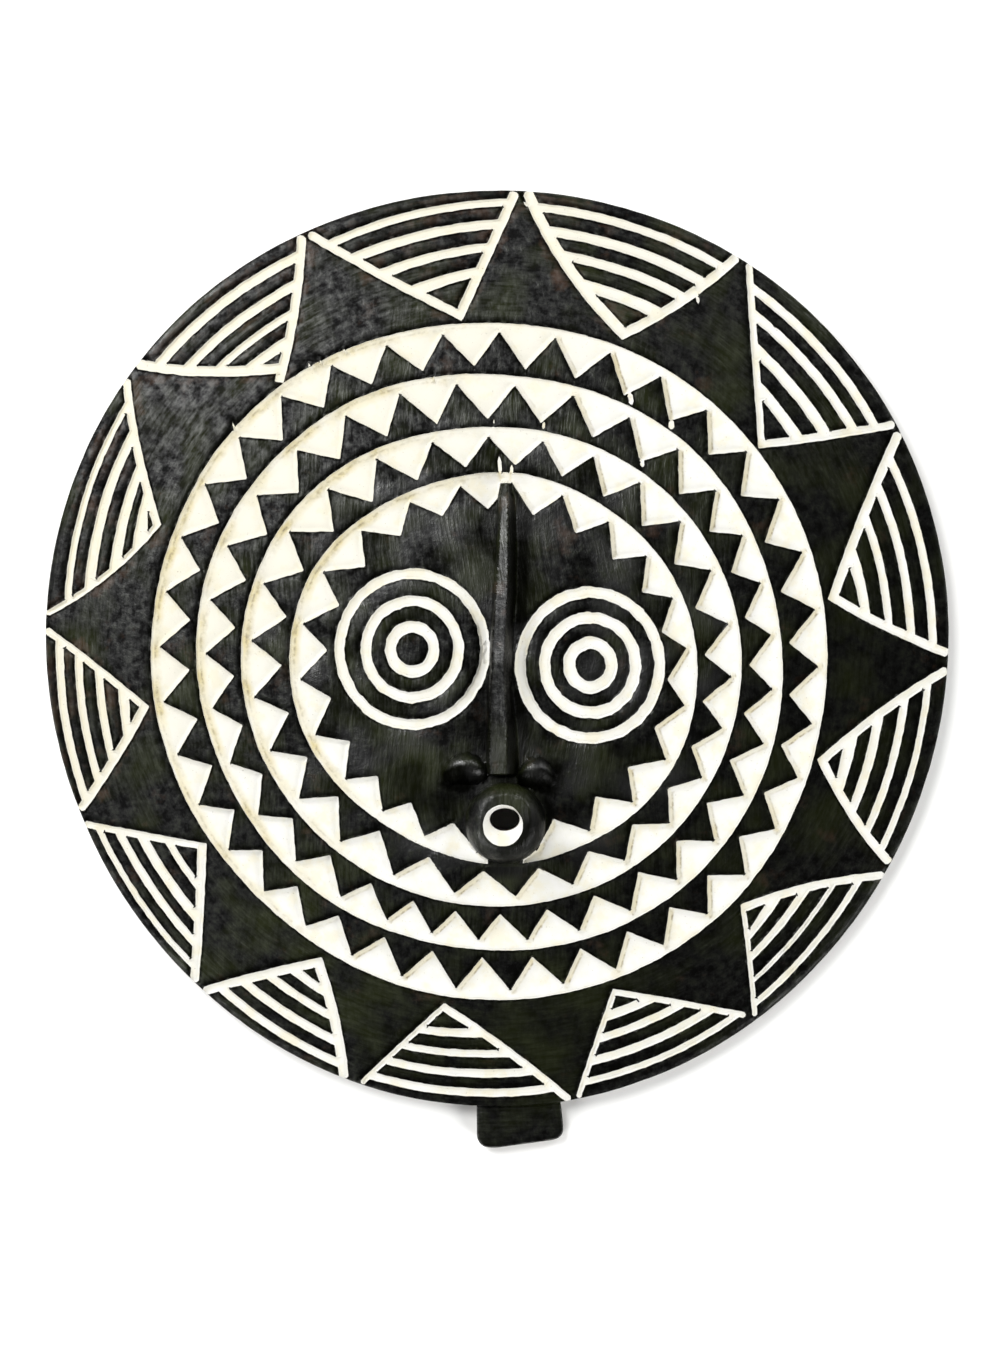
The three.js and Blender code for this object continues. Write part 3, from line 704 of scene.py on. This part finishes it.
def beside_edges(points):
    """What the nearest edges do to each point: the share of the depth that is reached, the depth of the cut,
    the distance to the edge, how far the darkening of the standing wood reaches from it, and the amounts of
    dirt and painted shade at the foot of walls turned from the light, of a cream tint (painted shade on walls
    turned from the light, a plain tint on the upper left hatching), and of stain that ran over the edge."""
    wall = darkening = np.ones(len(points))
    depth = np.full(len(points), CUT_DEPTH["hatch"])
    closest = edge = np.full(len(points), FAR)
    dirt, thin, stain = np.zeros((3, len(points)))
    for kind, measure in nearest.items():
        away, towards = measure(points)
        share = np.interp(away, [0, STEEP_WIDTH, WALL_WIDTH[kind]], [0, STEEP_SHARE[kind], 1])
        wall = np.minimum(wall, share)
        depth = np.where(away < closest, CUT_DEPTH[kind], depth)
        closest = np.minimum(closest, away)
        facing = towards @ TURNED_FROM_LIGHT
        # Walls turned from the light get painted shade: a cream tint on the wall, and a tan line at its foot
        # that is partly dirt
        if kind == "tooth":
            shaded = grows(facing, 0.55, 0.25) * np.clip(0.8 + 0.7 * smooth_noise(points, 12, 2.2), 0.2, 1)
            dirt = np.maximum(dirt, np.interp(away, [1.8, 2.5, 2.7, 3.4], [0, 1, 1, 0]) * shaded)
            thin = np.maximum(thin, np.interp(away, [0.0, 0.6, 2.6, 3.4], [0.2, 0.7, 0.7, 0]) * shaded)
        elif kind == "ring":
            shaded = grows(facing, 0.2, 0.5) * np.clip(0.8 + smooth_noise(points, 17, 2.2), 0.15, 1)
            drift = smooth_noise(points, 8, 5.5)
            line = away + 1.1 * drift
            dirt = np.maximum(dirt, np.interp(line, [1.7, 2.5, 2.7, 3.6], [0, 0.9, 0.9, 0]) * shaded)
            thin = np.maximum(thin, np.interp(line, [0.0, 0.6, 3.6, 6.5], [0.1, 0.9, 0.9, 0]) * shaded)
        elif kind != "slip":
            # Hatching and eyes: painted shade at the foot of walls turned from the light, and a cream tint
            # towards the upper left
            at_foot = np.interp(away, [0.4, 1.4, 3.0], [0, 0.3, 0]) * np.clip(facing, 0, 1)
            thin = np.maximum(thin, 0.25 * upper_left(points) + at_foot)
        if kind != "mound":
            # Along each edge the stain darkens the standing wood; it reaches further where the edge is the
            # wood's lower right side, as painted shade
            behind = np.clip(towards @ UPPER_LEFT, 0, 1)
            darkening = np.where(away < edge, 1.0 + 1.8 * behind, darkening)
            edge = np.minimum(edge, away)
            over = np.clip(1 - away / STEEP_WIDTH, 0, 1)
            if kind == "ring":
                over *= np.clip(0.78 - 0.8 * drift * (0.2 + shaded), 0, 1)
            stain = np.maximum(stain, over)
    return wall, depth, edge, darkening, dirt, thin, stain


def brown_wear_and_sheen(points):
    """How far the stain is worn brown in the spots, and browned as painted sheen on the bars of the upper left
    notches.
    """
    wear = np.zeros(len(points))
    for x, y, radius in HANDLED:
        wear = np.maximum(wear, np.exp(-np.sum((points - (x, y)) ** 2, axis=1) / radius ** 2))
    away, _ = nearest["hatch"](points)
    return np.maximum(wear, np.where(away < BROWN_SHEEN_REACH, 0.6 * upper_left(points), 0))


def dark_and_polished(points, edge, darkening, ridge, wings, tube):
    """How dark the stain and the painted shade are, and how far the wood is polished by rubbing."""
    # Polish on the nose, most at its two ends, on the upper side of the nostrils and a little on the mouth
    x, y = points.T
    touched = np.interp(y, [-58, -45, -30, 20, 50, 100], [0.9, 0.6, 0.1, 0.15, 0.9, 1.0])
    wing = np.where(points[:, :1] < 2, NOSTRILS[0], NOSTRILS[1])
    over_wing = y - wing[:, 1] + NOSTRIL_ARCH * ((x - wing[:, 0]) / wing[:, 2]) ** 2
    polished = np.maximum(touched * grows(ridge, 3, 5), grows(wings, 2, 3) * grows(over_wing, 0, 1.5))
    polished = np.maximum(polished, 0.2 * grows(tube, 3, 5))

    # Stain along the edges, painted shade that darkens the wood towards the lower right, and stain in thick and
    # thin patches over the face
    dark = np.clip(1.5 - edge / darkening, 0, 1)
    dark = np.maximum(dark, 0.6 * grows(points @ LOWER_RIGHT, -50, 200))
    from_nose = np.hypot(x, y - 10)
    thickness = 1.8 * smooth_noise(points, 19, 9.7) * grows(-from_nose, -135, 20)
    dark = np.maximum(dark, np.clip(thickness, 0, 0.75))
    polished = np.maximum(polished, 0.9 * np.clip(-thickness, 0, 1))

    # Painted shadow round the feet of the mounds, at their right and below them
    away, towards = nearest["mound"](points)
    under = np.maximum(towards @ RIGHT_SIDE, towards @ UNDERSIDE)
    spread = np.where(y > -40, 2.2 - away / 4.5, 1.7 - away / 5)
    foot = np.clip(spread, 0, 1) * np.clip(1.5 * under, 0, 1)
    standing = np.maximum(np.maximum(ridge, wings), tube) >= 0.5
    dark = np.maximum(dark, np.where(standing, 0, foot))

    # Painted shade on the mounds: the nose's right flank and lower left side, the nostrils under their crests,
    # and the lower right side of the mouth tube
    left, crest, _, _ = nose_at(y)
    flank = x > crest + CREST_WIDTH + 0.2
    lower_left = (y < 30) & (x < left + 0.2 * (crest - left))
    dark = np.where((ridge > 0.3) & flank, 1, dark)
    dark = np.where((ridge > 0.3) & lower_left, 0.8, dark)
    dark = np.where(wings > 0.3, np.clip(0.95 - over_wing / 2.5, 0, 1), dark)
    outwards = (points - MOUTH) / MOUTH_RADIUS
    dark = np.where(tube > 1, np.clip(2.5 * outwards @ MOUTH_SIDE - 0.2, 0, 1), dark)
    return dark, polished


def front_surface(points):
    """Heights of the front, and the amounts that its materials read: in the cuts, dirt and painted shade at the
    foot of walls, a cream tint that is mostly painted shade, and stain over the edge; on the standing wood,
    stain and painted shade, brown wear and painted sheen, and polish."""
    white = sunk(points)
    wall, depth, edge, darkening, dirt, thin, stain = beside_edges(points)
    height = dome(points) - np.where(white, wall * depth, 0)

    # The plank's unevenness, gouge marks on the floors of the cuts, and knife facets and softened edges on
    # the standing wood
    height += 0.35 * smooth_noise(points, 46, 1.5)
    gouge = smooth_noise(points, 5.5, 9.4)
    facets = smooth_noise(points * (1, 0.45), 9, 6.1)
    height += np.where(white, 0.14 * gouge * wall, 0.13 * facets * np.clip(edge, 0, 1))
    height -= np.where(white, 0, 0.35 * np.exp(-edge / 0.6))

    ridge, wings, tube = nose_height(points), nostril_height(points), mouth_height(points)
    mound = np.maximum(np.maximum(ridge, wings), tube)
    height += mound + np.where(mound > 0.5, 0.25 * smooth_noise(points, 11, 4.4), 0)
    height -= rounding(rim_inset(points), FRONT_ROUNDING)

    # The stub stands lower than the disc
    below = ~in_disc(points)
    lying = points[below]
    away, _ = nearest_outline(lying)
    height[below] = STUB_FRONT - 0.2 - rounding(away, STUB_ROUNDING) + 0.4 * smooth_noise(lying, 18, 5.2) ** 2
    height = np.minimum(height, CAD_BOX[1].z / MM - 0.05)

    dark, polished = dark_and_polished(points, edge, darkening, ridge, wings, tube)
    return height, dict(foot_dirt=dirt * white, thin_paint=thin * white, stain_edge=stain,
                        dark_edge=np.where(white, 0, dark), handled=brown_wear_and_sheen(points), polished=polished)


def back_surface(points):
    """Heights of the back: flat, with the hollow for the face cut up into it by an adze."""
    radius = np.hypot(*points.T)
    hollow = np.interp(radius, HOLLOW_RADII[::-1], HOLLOW_HEIGHTS[::-1])
    scoops = np.abs(smooth_noise(points * (1, 0.6), 15, 12.7)) * 1.5
    height = np.where(hollow > 0, np.maximum(hollow - 1.2 * scoops, 0), 0)
    away, _ = nearest_outline(points)
    height += 0.35 * scoops * grows(radius, HOLLOW_RADII[0] + 2, 10) * grows(away, 8, 10)
    height += rounding(away, BACK_ROUNDING)
    return height + np.where(in_disc(points), 0, STUB_BACK)


def back_points():
    random = np.random.default_rng(21)
    x, y = np.meshgrid(np.arange(-256, 256, 5.0), np.arange(-268, 268, 4.4))
    grid = pairs(x.ravel(), y.ravel()) + random.uniform(-1.1, 1.1, (x.size, 2))
    rows = [ellipse(0, 0, radius, radius, 2.6) for radius in (124, 122.5, 116, 109, 103, 92, 82)]
    rows += [beside(outline, offset) for offset in (0.4, 1.1, 2.0, 4.0)]
    rows.append(ellipse(*(HOLE + [0, 0, 1.5, 1.5]), 2.0))
    points = np.concatenate([*rows, grid])
    away, _ = nearest_outline(points)
    clear = beyond(points, HOLE + [0, 0, 1.0, 1.0]) > 1
    return thinned(points[inside(points, outline) & (away > 0.3) & clear],
                   np.concatenate([outline, hole_edge]), 0.35)


def mask_mesh():
    """The whole mask as one closed mesh."""
    lines = [outline, hole_edge, lip_edge, nose_edge, mouth_edge, *all_cut_lines]
    extra = thinned(front_points(), np.concatenate(lines), 0.5)
    front, front_faces, (front_rim, front_hole, *_) = net(lines, extra)
    height, looks = front_surface(front)
    middles = front[front_faces].mean(axis=1)
    front_paint = sunk(middles) | inside(middles, lip_edge)

    back, back_faces, (back_rim, back_hole) = net([outline, hole_edge], back_points())
    back_height = back_surface(back)

    places = [np.column_stack([front, height]), np.column_stack([back, back_height])]
    faces = [front_faces, back_faces[:, ::-1] + len(front)]
    slots = [np.where(front_paint, PAINTED, STAINED), np.full(len(back_faces), ADZED)]
    count = len(front) + len(back)

    def sleeve(line, upper, lower, levels, push, bands):
        """Rows of points between a loop of the front and the same loop of the back, joined by bands of
        triangles. Push says how far a row moves inwards, and bands the material slot of each band."""
        nonlocal count
        rows = [upper]
        top, bottom = places[0][upper, 2], places[1][lower - len(front), 2]
        for level in levels:
            z = top + (bottom - top) * level
            places.append(np.column_stack([line + push(z)[:, None] * leftwards(line), z]))
            rows.append(np.arange(len(line)) + count)
            count += len(line)
        rows.append(lower)
        for row, (a, b) in enumerate(zip(rows[:-1], rows[1:])):
            a2, b2 = np.roll(a, -1), np.roll(b, -1)
            faces.append(np.concatenate([np.stack([a, b, b2], axis=1), np.stack([a, b2, a2], axis=1)]))
            slots.append(np.full(2 * len(a), bands[row]))

    def rim_dents(z):
        return 0.3 * np.clip(smooth_noise(pairs(outline.sum(axis=1), z * 2), 7, 3.3), 0, 1)

    def hole_dents(z):
        return 0.25 * smooth_noise(pairs(hole_edge[::-1, 0] * 2, z), 5, 7.7)

    sleeve(outline, front_rim, back_rim + len(front), [0.15, 0.35, 0.55, 0.75, 0.92], rim_dents, [STAINED] * 6)
    # The sleeve of the mouth hole faces the other way, so its loops run clockwise. Below the paint, one band of
    # it is darker wood as painted shade
    sleeve(hole_edge[::-1], front_hole[::-1], back_hole[::-1] + len(front), [0.12, 0.28, 0.45, 0.65, 0.85],
           hole_dents, [PAINTED, PAINTED, SHADED_HOLE, ADZED, ADZED, ADZED])

    places = np.concatenate(places) * MM
    faces = np.concatenate(faces)
    slots = np.concatenate(slots)
    used, corners = np.unique(faces, return_inverse=True)
    mesh = bpy.data.meshes.new("mask_wood")
    mesh.from_pydata(places[used].tolist(), [], corners.reshape(faces.shape).tolist())
    mesh.polygons.foreach_set("material_index", slots.astype(np.int32))
    for name, values in looks.items():
        whole = np.zeros(len(places), np.float32)
        whole[: len(values)] = values
        mesh.attributes.new(name, "FLOAT", "POINT").data.foreach_set("value", whole[used])
    mesh.polygons.foreach_set("use_smooth", np.ones(len(mesh.polygons), bool))
    mesh.update()
    mesh.set_sharp_from_angle(angle=math.radians(30))
    return mesh


def linear(hex_colour):
    """An sRGB hex colour as the linear red, green, blue and alpha that shaders take."""
    parts = [int(hex_colour[i:i + 2], 16) / 255 for i in (1, 3, 5)]
    return [c / 12.92 if c <= 0.04045 else ((c + 0.055) / 1.055) ** 2.4 for c in parts] + [1.0]


def per_metre(*sizes):
    """A pattern's scale: how many of its spots or strokes, of a size in millimetres, fit into a metre. Three
    sizes give a scale for each direction."""
    counts = [1 / (size * MM) for size in sizes]
    return counts if len(counts) > 1 else counts[0]


def add_node(tree, kind, inputs=None, stops=(), **settings):
    """One shader node. Its inputs, by name or number, are linked to a socket or to a node's first output in
    use, or set to plain values. Stops are a colour ramp's places and colours, settings the node's own."""
    node = tree.nodes.new("ShaderNode" + kind)
    for name, value in settings.items():
        setattr(node, name, value)
    for name, value in (inputs or {}).items():
        socket = node.inputs[name]
        if isinstance(name, str):
            socket = next(s for s in node.inputs if s.name == name and s.enabled)
        if isinstance(value, bpy.types.Node):
            value = next(s for s in value.outputs if s.enabled)
        if isinstance(value, bpy.types.NodeSocket):
            tree.links.new(value, socket)
        else:
            socket.default_value = value
    for i, (place, colour) in enumerate(stops):
        stop = node.color_ramp.elements[i] if i < 2 else node.color_ramp.elements.new(place)
        stop.position = place
        stop.color = linear(colour)
    return node


def finish(name, recipe, *colours):
    """A material. Its recipe adds nodes, and returns what goes into the one shader."""
    material = bpy.data.materials.new(name)
    material.use_nodes = True
    material.node_tree.nodes.clear()
    add = functools.partial(add_node, material.node_tree)
    add("OutputMaterial", {"Surface": add("BsdfPrincipled", recipe(add, *colours))})
    return material


def stained_wood(add):
    """Light savanna wood stained black with boiled pods and rubbed with oil. It gives the eye a soft sheen that
    comes and goes with the strokes of stain, and it is matt black along the edges and where shade is painted
    on, brown where hands have worn it and, as painted sheen, on the upper left bars, and glossier where it is
    polished by touch."""
    place = add("TexCoord").outputs["Object"]
    # The stain was rubbed in by strokes about 1.8 mm wide and 13 mm long, that wander with the hand
    wander = add("TexNoise", {"Vector": place, "Scale": per_metre(111.11), "Detail": 1.0}).outputs["Color"]
    bent = add("Mix", {"Factor": 0.03, "A": place, "B": wander}, data_type="VECTOR")
    stroke = per_metre(1.7857, 13.333, 3.3333)
    along = add("Mapping", {"Vector": bent, "Scale": stroke, "Rotation": (0, 0, -0.25)})
    straight = add("TexNoise", {"Vector": along, "Scale": 1.0, "Detail": 3.0, "Roughness": 0.6})
    # Towards the rim they run round the disc, each a sixteenth of the radius long
    middle = add("VectorMath", {0: place, 1: (0, -DISC_Y * MM, 0)}, operation="ADD")
    flat = add("VectorMath", {0: middle, 1: (1, 1, 0)}, operation="MULTIPLY")
    out = add("VectorMath", {0: flat}, operation="LENGTH")
    facing = add("VectorMath", {0: flat}, operation="NORMALIZE")
    across = add("Math", {0: out, 1: per_metre(1.9231)}, operation="MULTIPLY")
    level = add("CombineXYZ", {"Z": across})
    round_about = add("VectorMath", {0: facing, 1: (16, 16, 0), 2: level}, operation="MULTIPLY_ADD")
    circling = add("TexNoise", {"Vector": round_about, "Scale": 1.0, "Detail": 3.0, "Roughness": 0.6})
    outer = add("MapRange", {"Value": out, "From Min": 0.15, "From Max": 0.20, "To Max": 0.75})
    strokes = add("Mix", {"Factor": outer, "A": straight, "B": circling})
    # Cloudy patches about 30 mm across, blots about 6 mm across, and handling wear about 20 mm across
    patches = add("TexNoise", {"Vector": place, "Scale": per_metre(31.25), "Detail": 4.0})
    blots = add("TexNoise", {"Vector": place, "Scale": per_metre(6.25), "Detail": 5.0, "Roughness": 0.7})
    rubbed = add("TexNoise", {"Vector": place, "Scale": per_metre(20.833), "Detail": 5.0, "Roughness": 0.65})
    brush = add("MapRange", {"Value": patches, "From Min": 0.4, "From Max": 0.6, "To Min": 0.25, "To Max": 0.7})
    both = add("Mix", {"Factor": brush, "A": blots, "B": strokes})
    stain = add("ValToRGB", {"Fac": both}, [(0.42, "#010101"), (0.62, "#1b1e13"), (0.51, "#020302")])
    cloud = add("ValToRGB", {"Fac": patches}, [(0.45, "#010101"), (0.64, "#292e11")])
    clouded = add("Mix", {"Factor": 0.4, "A": stain, "B": cloud}, data_type="RGBA")
    # Brown where hands wore the stain, and on the upper left bars, where the brown is painted sheen
    hands = add("Attribute", attribute_name="handled").outputs["Fac"]
    wear = add("Math", {0: hands, 1: 0.2, 2: rubbed}, operation="MULTIPLY_ADD")
    worn = add("MapRange", {"Value": wear, "From Min": 0.60, "From Max": 0.80, "To Max": 0.6})
    browned = add("Mix", {"Factor": worn, "A": clouded, "B": linear("#46352a")}, data_type="RGBA")
    # Stain along the edges and painted shade make the wood matt and near black
    edge = add("Attribute", attribute_name="dark_edge").outputs["Fac"]
    darkening = add("MapRange", {"Value": edge, "To Max": 0.9})
    coloured = add("Mix", {"Factor": darkening, "A": browned, "B": linear("#020201")}, data_type="RGBA")
    rough = add("MapRange", {"Value": both, "From Min": 0.42, "From Max": 0.6, "To Min": 0.50, "To Max": 0.34})
    oily = add("MapRange", {"Value": both, "From Min": 0.42, "From Max": 0.6, "To Min": 0.06, "To Max": 0.38})
    matt = add("MapRange", {"Value": edge, "To Min": 1.0, "To Max": 0.1})
    gloss = add("Math", {0: oily, 1: matt}, operation="MULTIPLY")
    rubbing = add("Attribute", attribute_name="polished").outputs["Fac"]
    glossier = add("Math", {0: rubbing, 1: 0.4, 2: gloss}, operation="MULTIPLY_ADD")
    smoother = add("Math", {0: rubbing, 1: -0.06, 2: rough}, operation="MULTIPLY_ADD")
    bump = add("Bump", {"Height": both, "Strength": 0.7, "Distance": 0.001})
    return {"Base Color": coloured, "Roughness": smoother, "Normal": bump, "IOR": 1.5,
            "Specular IOR Level": glossier}


def white_earth(add):
    """White earth mixed with water and brushed into the cuts. It gives the eye a flat chalky white, tinted
    cream as painted shade on the walls turned from the light, with a tan line of dirt and painted shade at
    their feet and a few dark flecks."""
    place = add("TexCoord").outputs["Object"]
    # Brushed thin and thick over about 12 mm, with flecks about 1 mm across, and streaks about 2.4 mm across in
    # the dirt and painted shade at the feet of walls.
    # Real chalk grit is too fine to show, so it is drawn about 0.8 mm across
    cover = add("TexNoise", {"Vector": place, "Scale": per_metre(11.765), "Detail": 4.0, "Roughness": 0.6})
    flecks = add("TexNoise", {"Vector": place, "Scale": per_metre(1.1111)})
    grit = add("TexNoise", {"Vector": place, "Scale": per_metre(0.76923), "Detail": 3.0, "Roughness": 0.6})
    paint = add("ValToRGB", {"Fac": cover}, [(0.36, "#c9c5b5"), (0.62, "#cdccc8"), (0.46, "#cac9c1")])
    # A cream tint stands in for shade on the walls turned from the light, and tints the upper left hatching
    thin = add("Attribute", attribute_name="thin_paint").outputs["Fac"]
    patchy = add("MapRange", {"Value": cover, "From Min": 0.32, "From Max": 0.6, "To Min": 0.35})
    cream_shade_here = add("Math", {0: thin, 1: patchy}, operation="MULTIPLY", use_clamp=True)
    cream = add("Mix", {"Factor": cream_shade_here, "A": paint, "B": linear("#b9ac7c")}, data_type="RGBA")
    # A tan line at the feet of those walls is partly dirt and partly painted shade
    dirt = add("Attribute", attribute_name="foot_dirt").outputs["Fac"]
    streak = add("TexNoise", {"Vector": place, "Scale": per_metre(2.381), "Detail": 3.0, "Roughness": 0.6})
    streaky = add("MapRange", {"Value": streak, "From Min": 0.38, "From Max": 0.58, "To Min": 0.1})
    uneven_dirt_and_shade = add("Math", {0: dirt, 1: patchy}, operation="MULTIPLY")
    dust_and_shade = add("Math", {0: uneven_dirt_and_shade, 1: streaky}, operation="MULTIPLY", use_clamp=True)
    tan = add("Mix", {"Factor": dust_and_shade, "A": cream, "B": linear("#6c634e")}, data_type="RGBA")
    speck = add("MapRange", {"Value": flecks, "From Min": 0.69, "From Max": 0.77, "To Max": 0.55})
    flecked = add("Mix", {"Factor": speck, "A": tan, "B": linear("#6f6450")}, data_type="RGBA")
    # The stain ran a little way over the edge before the paint was brushed up to it, unevenly over 3 mm
    ragged = add("TexNoise", {"Vector": place, "Scale": per_metre(3.0303)})
    over = add("Attribute", attribute_name="stain_edge").outputs["Fac"]
    uneven = add("Math", {0: ragged, 1: 0.35, 2: over}, operation="MULTIPLY_ADD")
    left_dark = add("MapRange", {"Value": uneven, "From Min": 0.68, "From Max": 0.8})
    edged = add("Mix", {"Factor": left_dark, "A": flecked, "B": linear("#14130f")}, data_type="RGBA")
    bump = add("Bump", {"Height": grit, "Strength": 0.3, "Distance": 0.0003})
    return {"Base Color": edged, "Normal": bump, "Roughness": 0.88, "IOR": 1.45}


def plain_wood(add, light, dark):
    """Adzed wood that was never stained, dulled by handling. It gives the eye an even dry brown."""
    place = add("TexCoord").outputs["Object"]
    # Grain upright on the mask, about 38 mm long and drawn about 2 mm wide, as the real pores are too fine to
    # show
    stretched = add("Mapping", {"Vector": place, "Scale": per_metre(2.381, 38.462, 5.0)})
    grain = add("TexNoise", {"Vector": stretched, "Scale": 1.0, "Detail": 4.0, "Roughness": 0.6})
    colour = add("ValToRGB", {"Fac": grain}, [(0.32, dark), (0.70, light)])
    bump = add("Bump", {"Height": grain, "Strength": 0.5, "Distance": 0.0005})
    return {"Base Color": colour, "Normal": bump, "Roughness": 0.72, "IOR": 1.5}


mask = bpy.data.objects.new("mask_body", mask_mesh())
bpy.context.scene.collection.objects.link(mask)
for material in (finish("stained_wood", stained_wood), finish("white_earth", white_earth),
                 finish("adzed_wood", plain_wood, "#6b5139", "#3a2b1e"),
                 # A darker copy of the adzed wood, painted shade inside the mouth hole
                 finish("hole_wood", plain_wood, "#2b2119", "#15100c")):
    mask.data.materials.append(material)
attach(mask, "root")
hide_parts("sun_mask")

# In metres: the floor, each lamp's name, place, width and watts, and the camera. The photograph looks
# straight down on the face and takes in 551.7 x 756.5 mm at the height of the rim.
FLOOR_HALF = 4.0
LAMPS = [
    ("key_lamp", (-1.8, 1.8, 4.8), 2.4, 204.0),
    ("upper_left_lamp", (-1.3, 1.3, 1.1), 0.9, 38.0),
    ("upper_right_lamp", (1.3, 1.3, 1.1), 1.0, 20.0),
    ("lower_left_lamp", (-1.3, -1.3, 1.1), 1.0, 20.0),
    ("lower_right_lamp", (1.24, -1.24, 0.8), 1.0, 32.0),
]
CAMERA_DISTANCE = 3.2
VIEW_HEIGHT = 0.7565
VIEW_MIDDLE = (-0.00014, -0.0069, 0.015)
SENSOR_WIDTH = 36.0


def studio():
    """A pale floor, a broad soft lamp to the upper left, four low ones round the mask, and the camera."""
    collection = bpy.context.scene.collection
    floor_mesh = bpy.data.meshes.new("floor")
    corners = [(x * FLOOR_HALF, y * FLOOR_HALF, 0) for x, y in ((-1, -1), (1, -1), (1, 1), (-1, 1))]
    floor_mesh.from_pydata(corners, [], [(0, 1, 2, 3)])
    floor = bpy.data.objects.new("floor", floor_mesh)
    collection.objects.link(floor)
    floor_mesh.materials.append(finish(
        "pale_floor", lambda add: {"Base Color": linear("#f4f4f2"), "Roughness": 0.9}))

    world = bpy.data.worlds.new("studio")
    world.use_nodes = True
    backdrop = world.node_tree.nodes["Background"]
    backdrop.inputs["Color"].default_value = linear("#fdfdff")
    backdrop.inputs["Strength"].default_value = 0.02
    bpy.context.scene.world = world

    for name, place, size, power in LAMPS:
        lamp = bpy.data.lights.new(name, "AREA")
        lamp.shape, lamp.size, lamp.energy = "DISK", size, power
        holder = bpy.data.objects.new(name, lamp)
        holder.location = place
        holder.rotation_euler = (-Vector(place)).to_track_quat("-Z", "Y").to_euler()
        collection.objects.link(holder)

    camera = bpy.data.cameras.new("camera")
    camera.sensor_width = SENSOR_WIDTH
    camera.lens = SENSOR_WIDTH * CAMERA_DISTANCE / VIEW_HEIGHT
    camera.clip_end = 20.0
    eye = bpy.data.objects.new("camera", camera)
    eye.location = (*VIEW_MIDDLE[:2], VIEW_MIDDLE[2] + CAMERA_DISTANCE)
    collection.objects.link(eye)
    bpy.context.scene.camera = eye
    bpy.context.scene.view_settings.view_transform = "Standard"


studio()
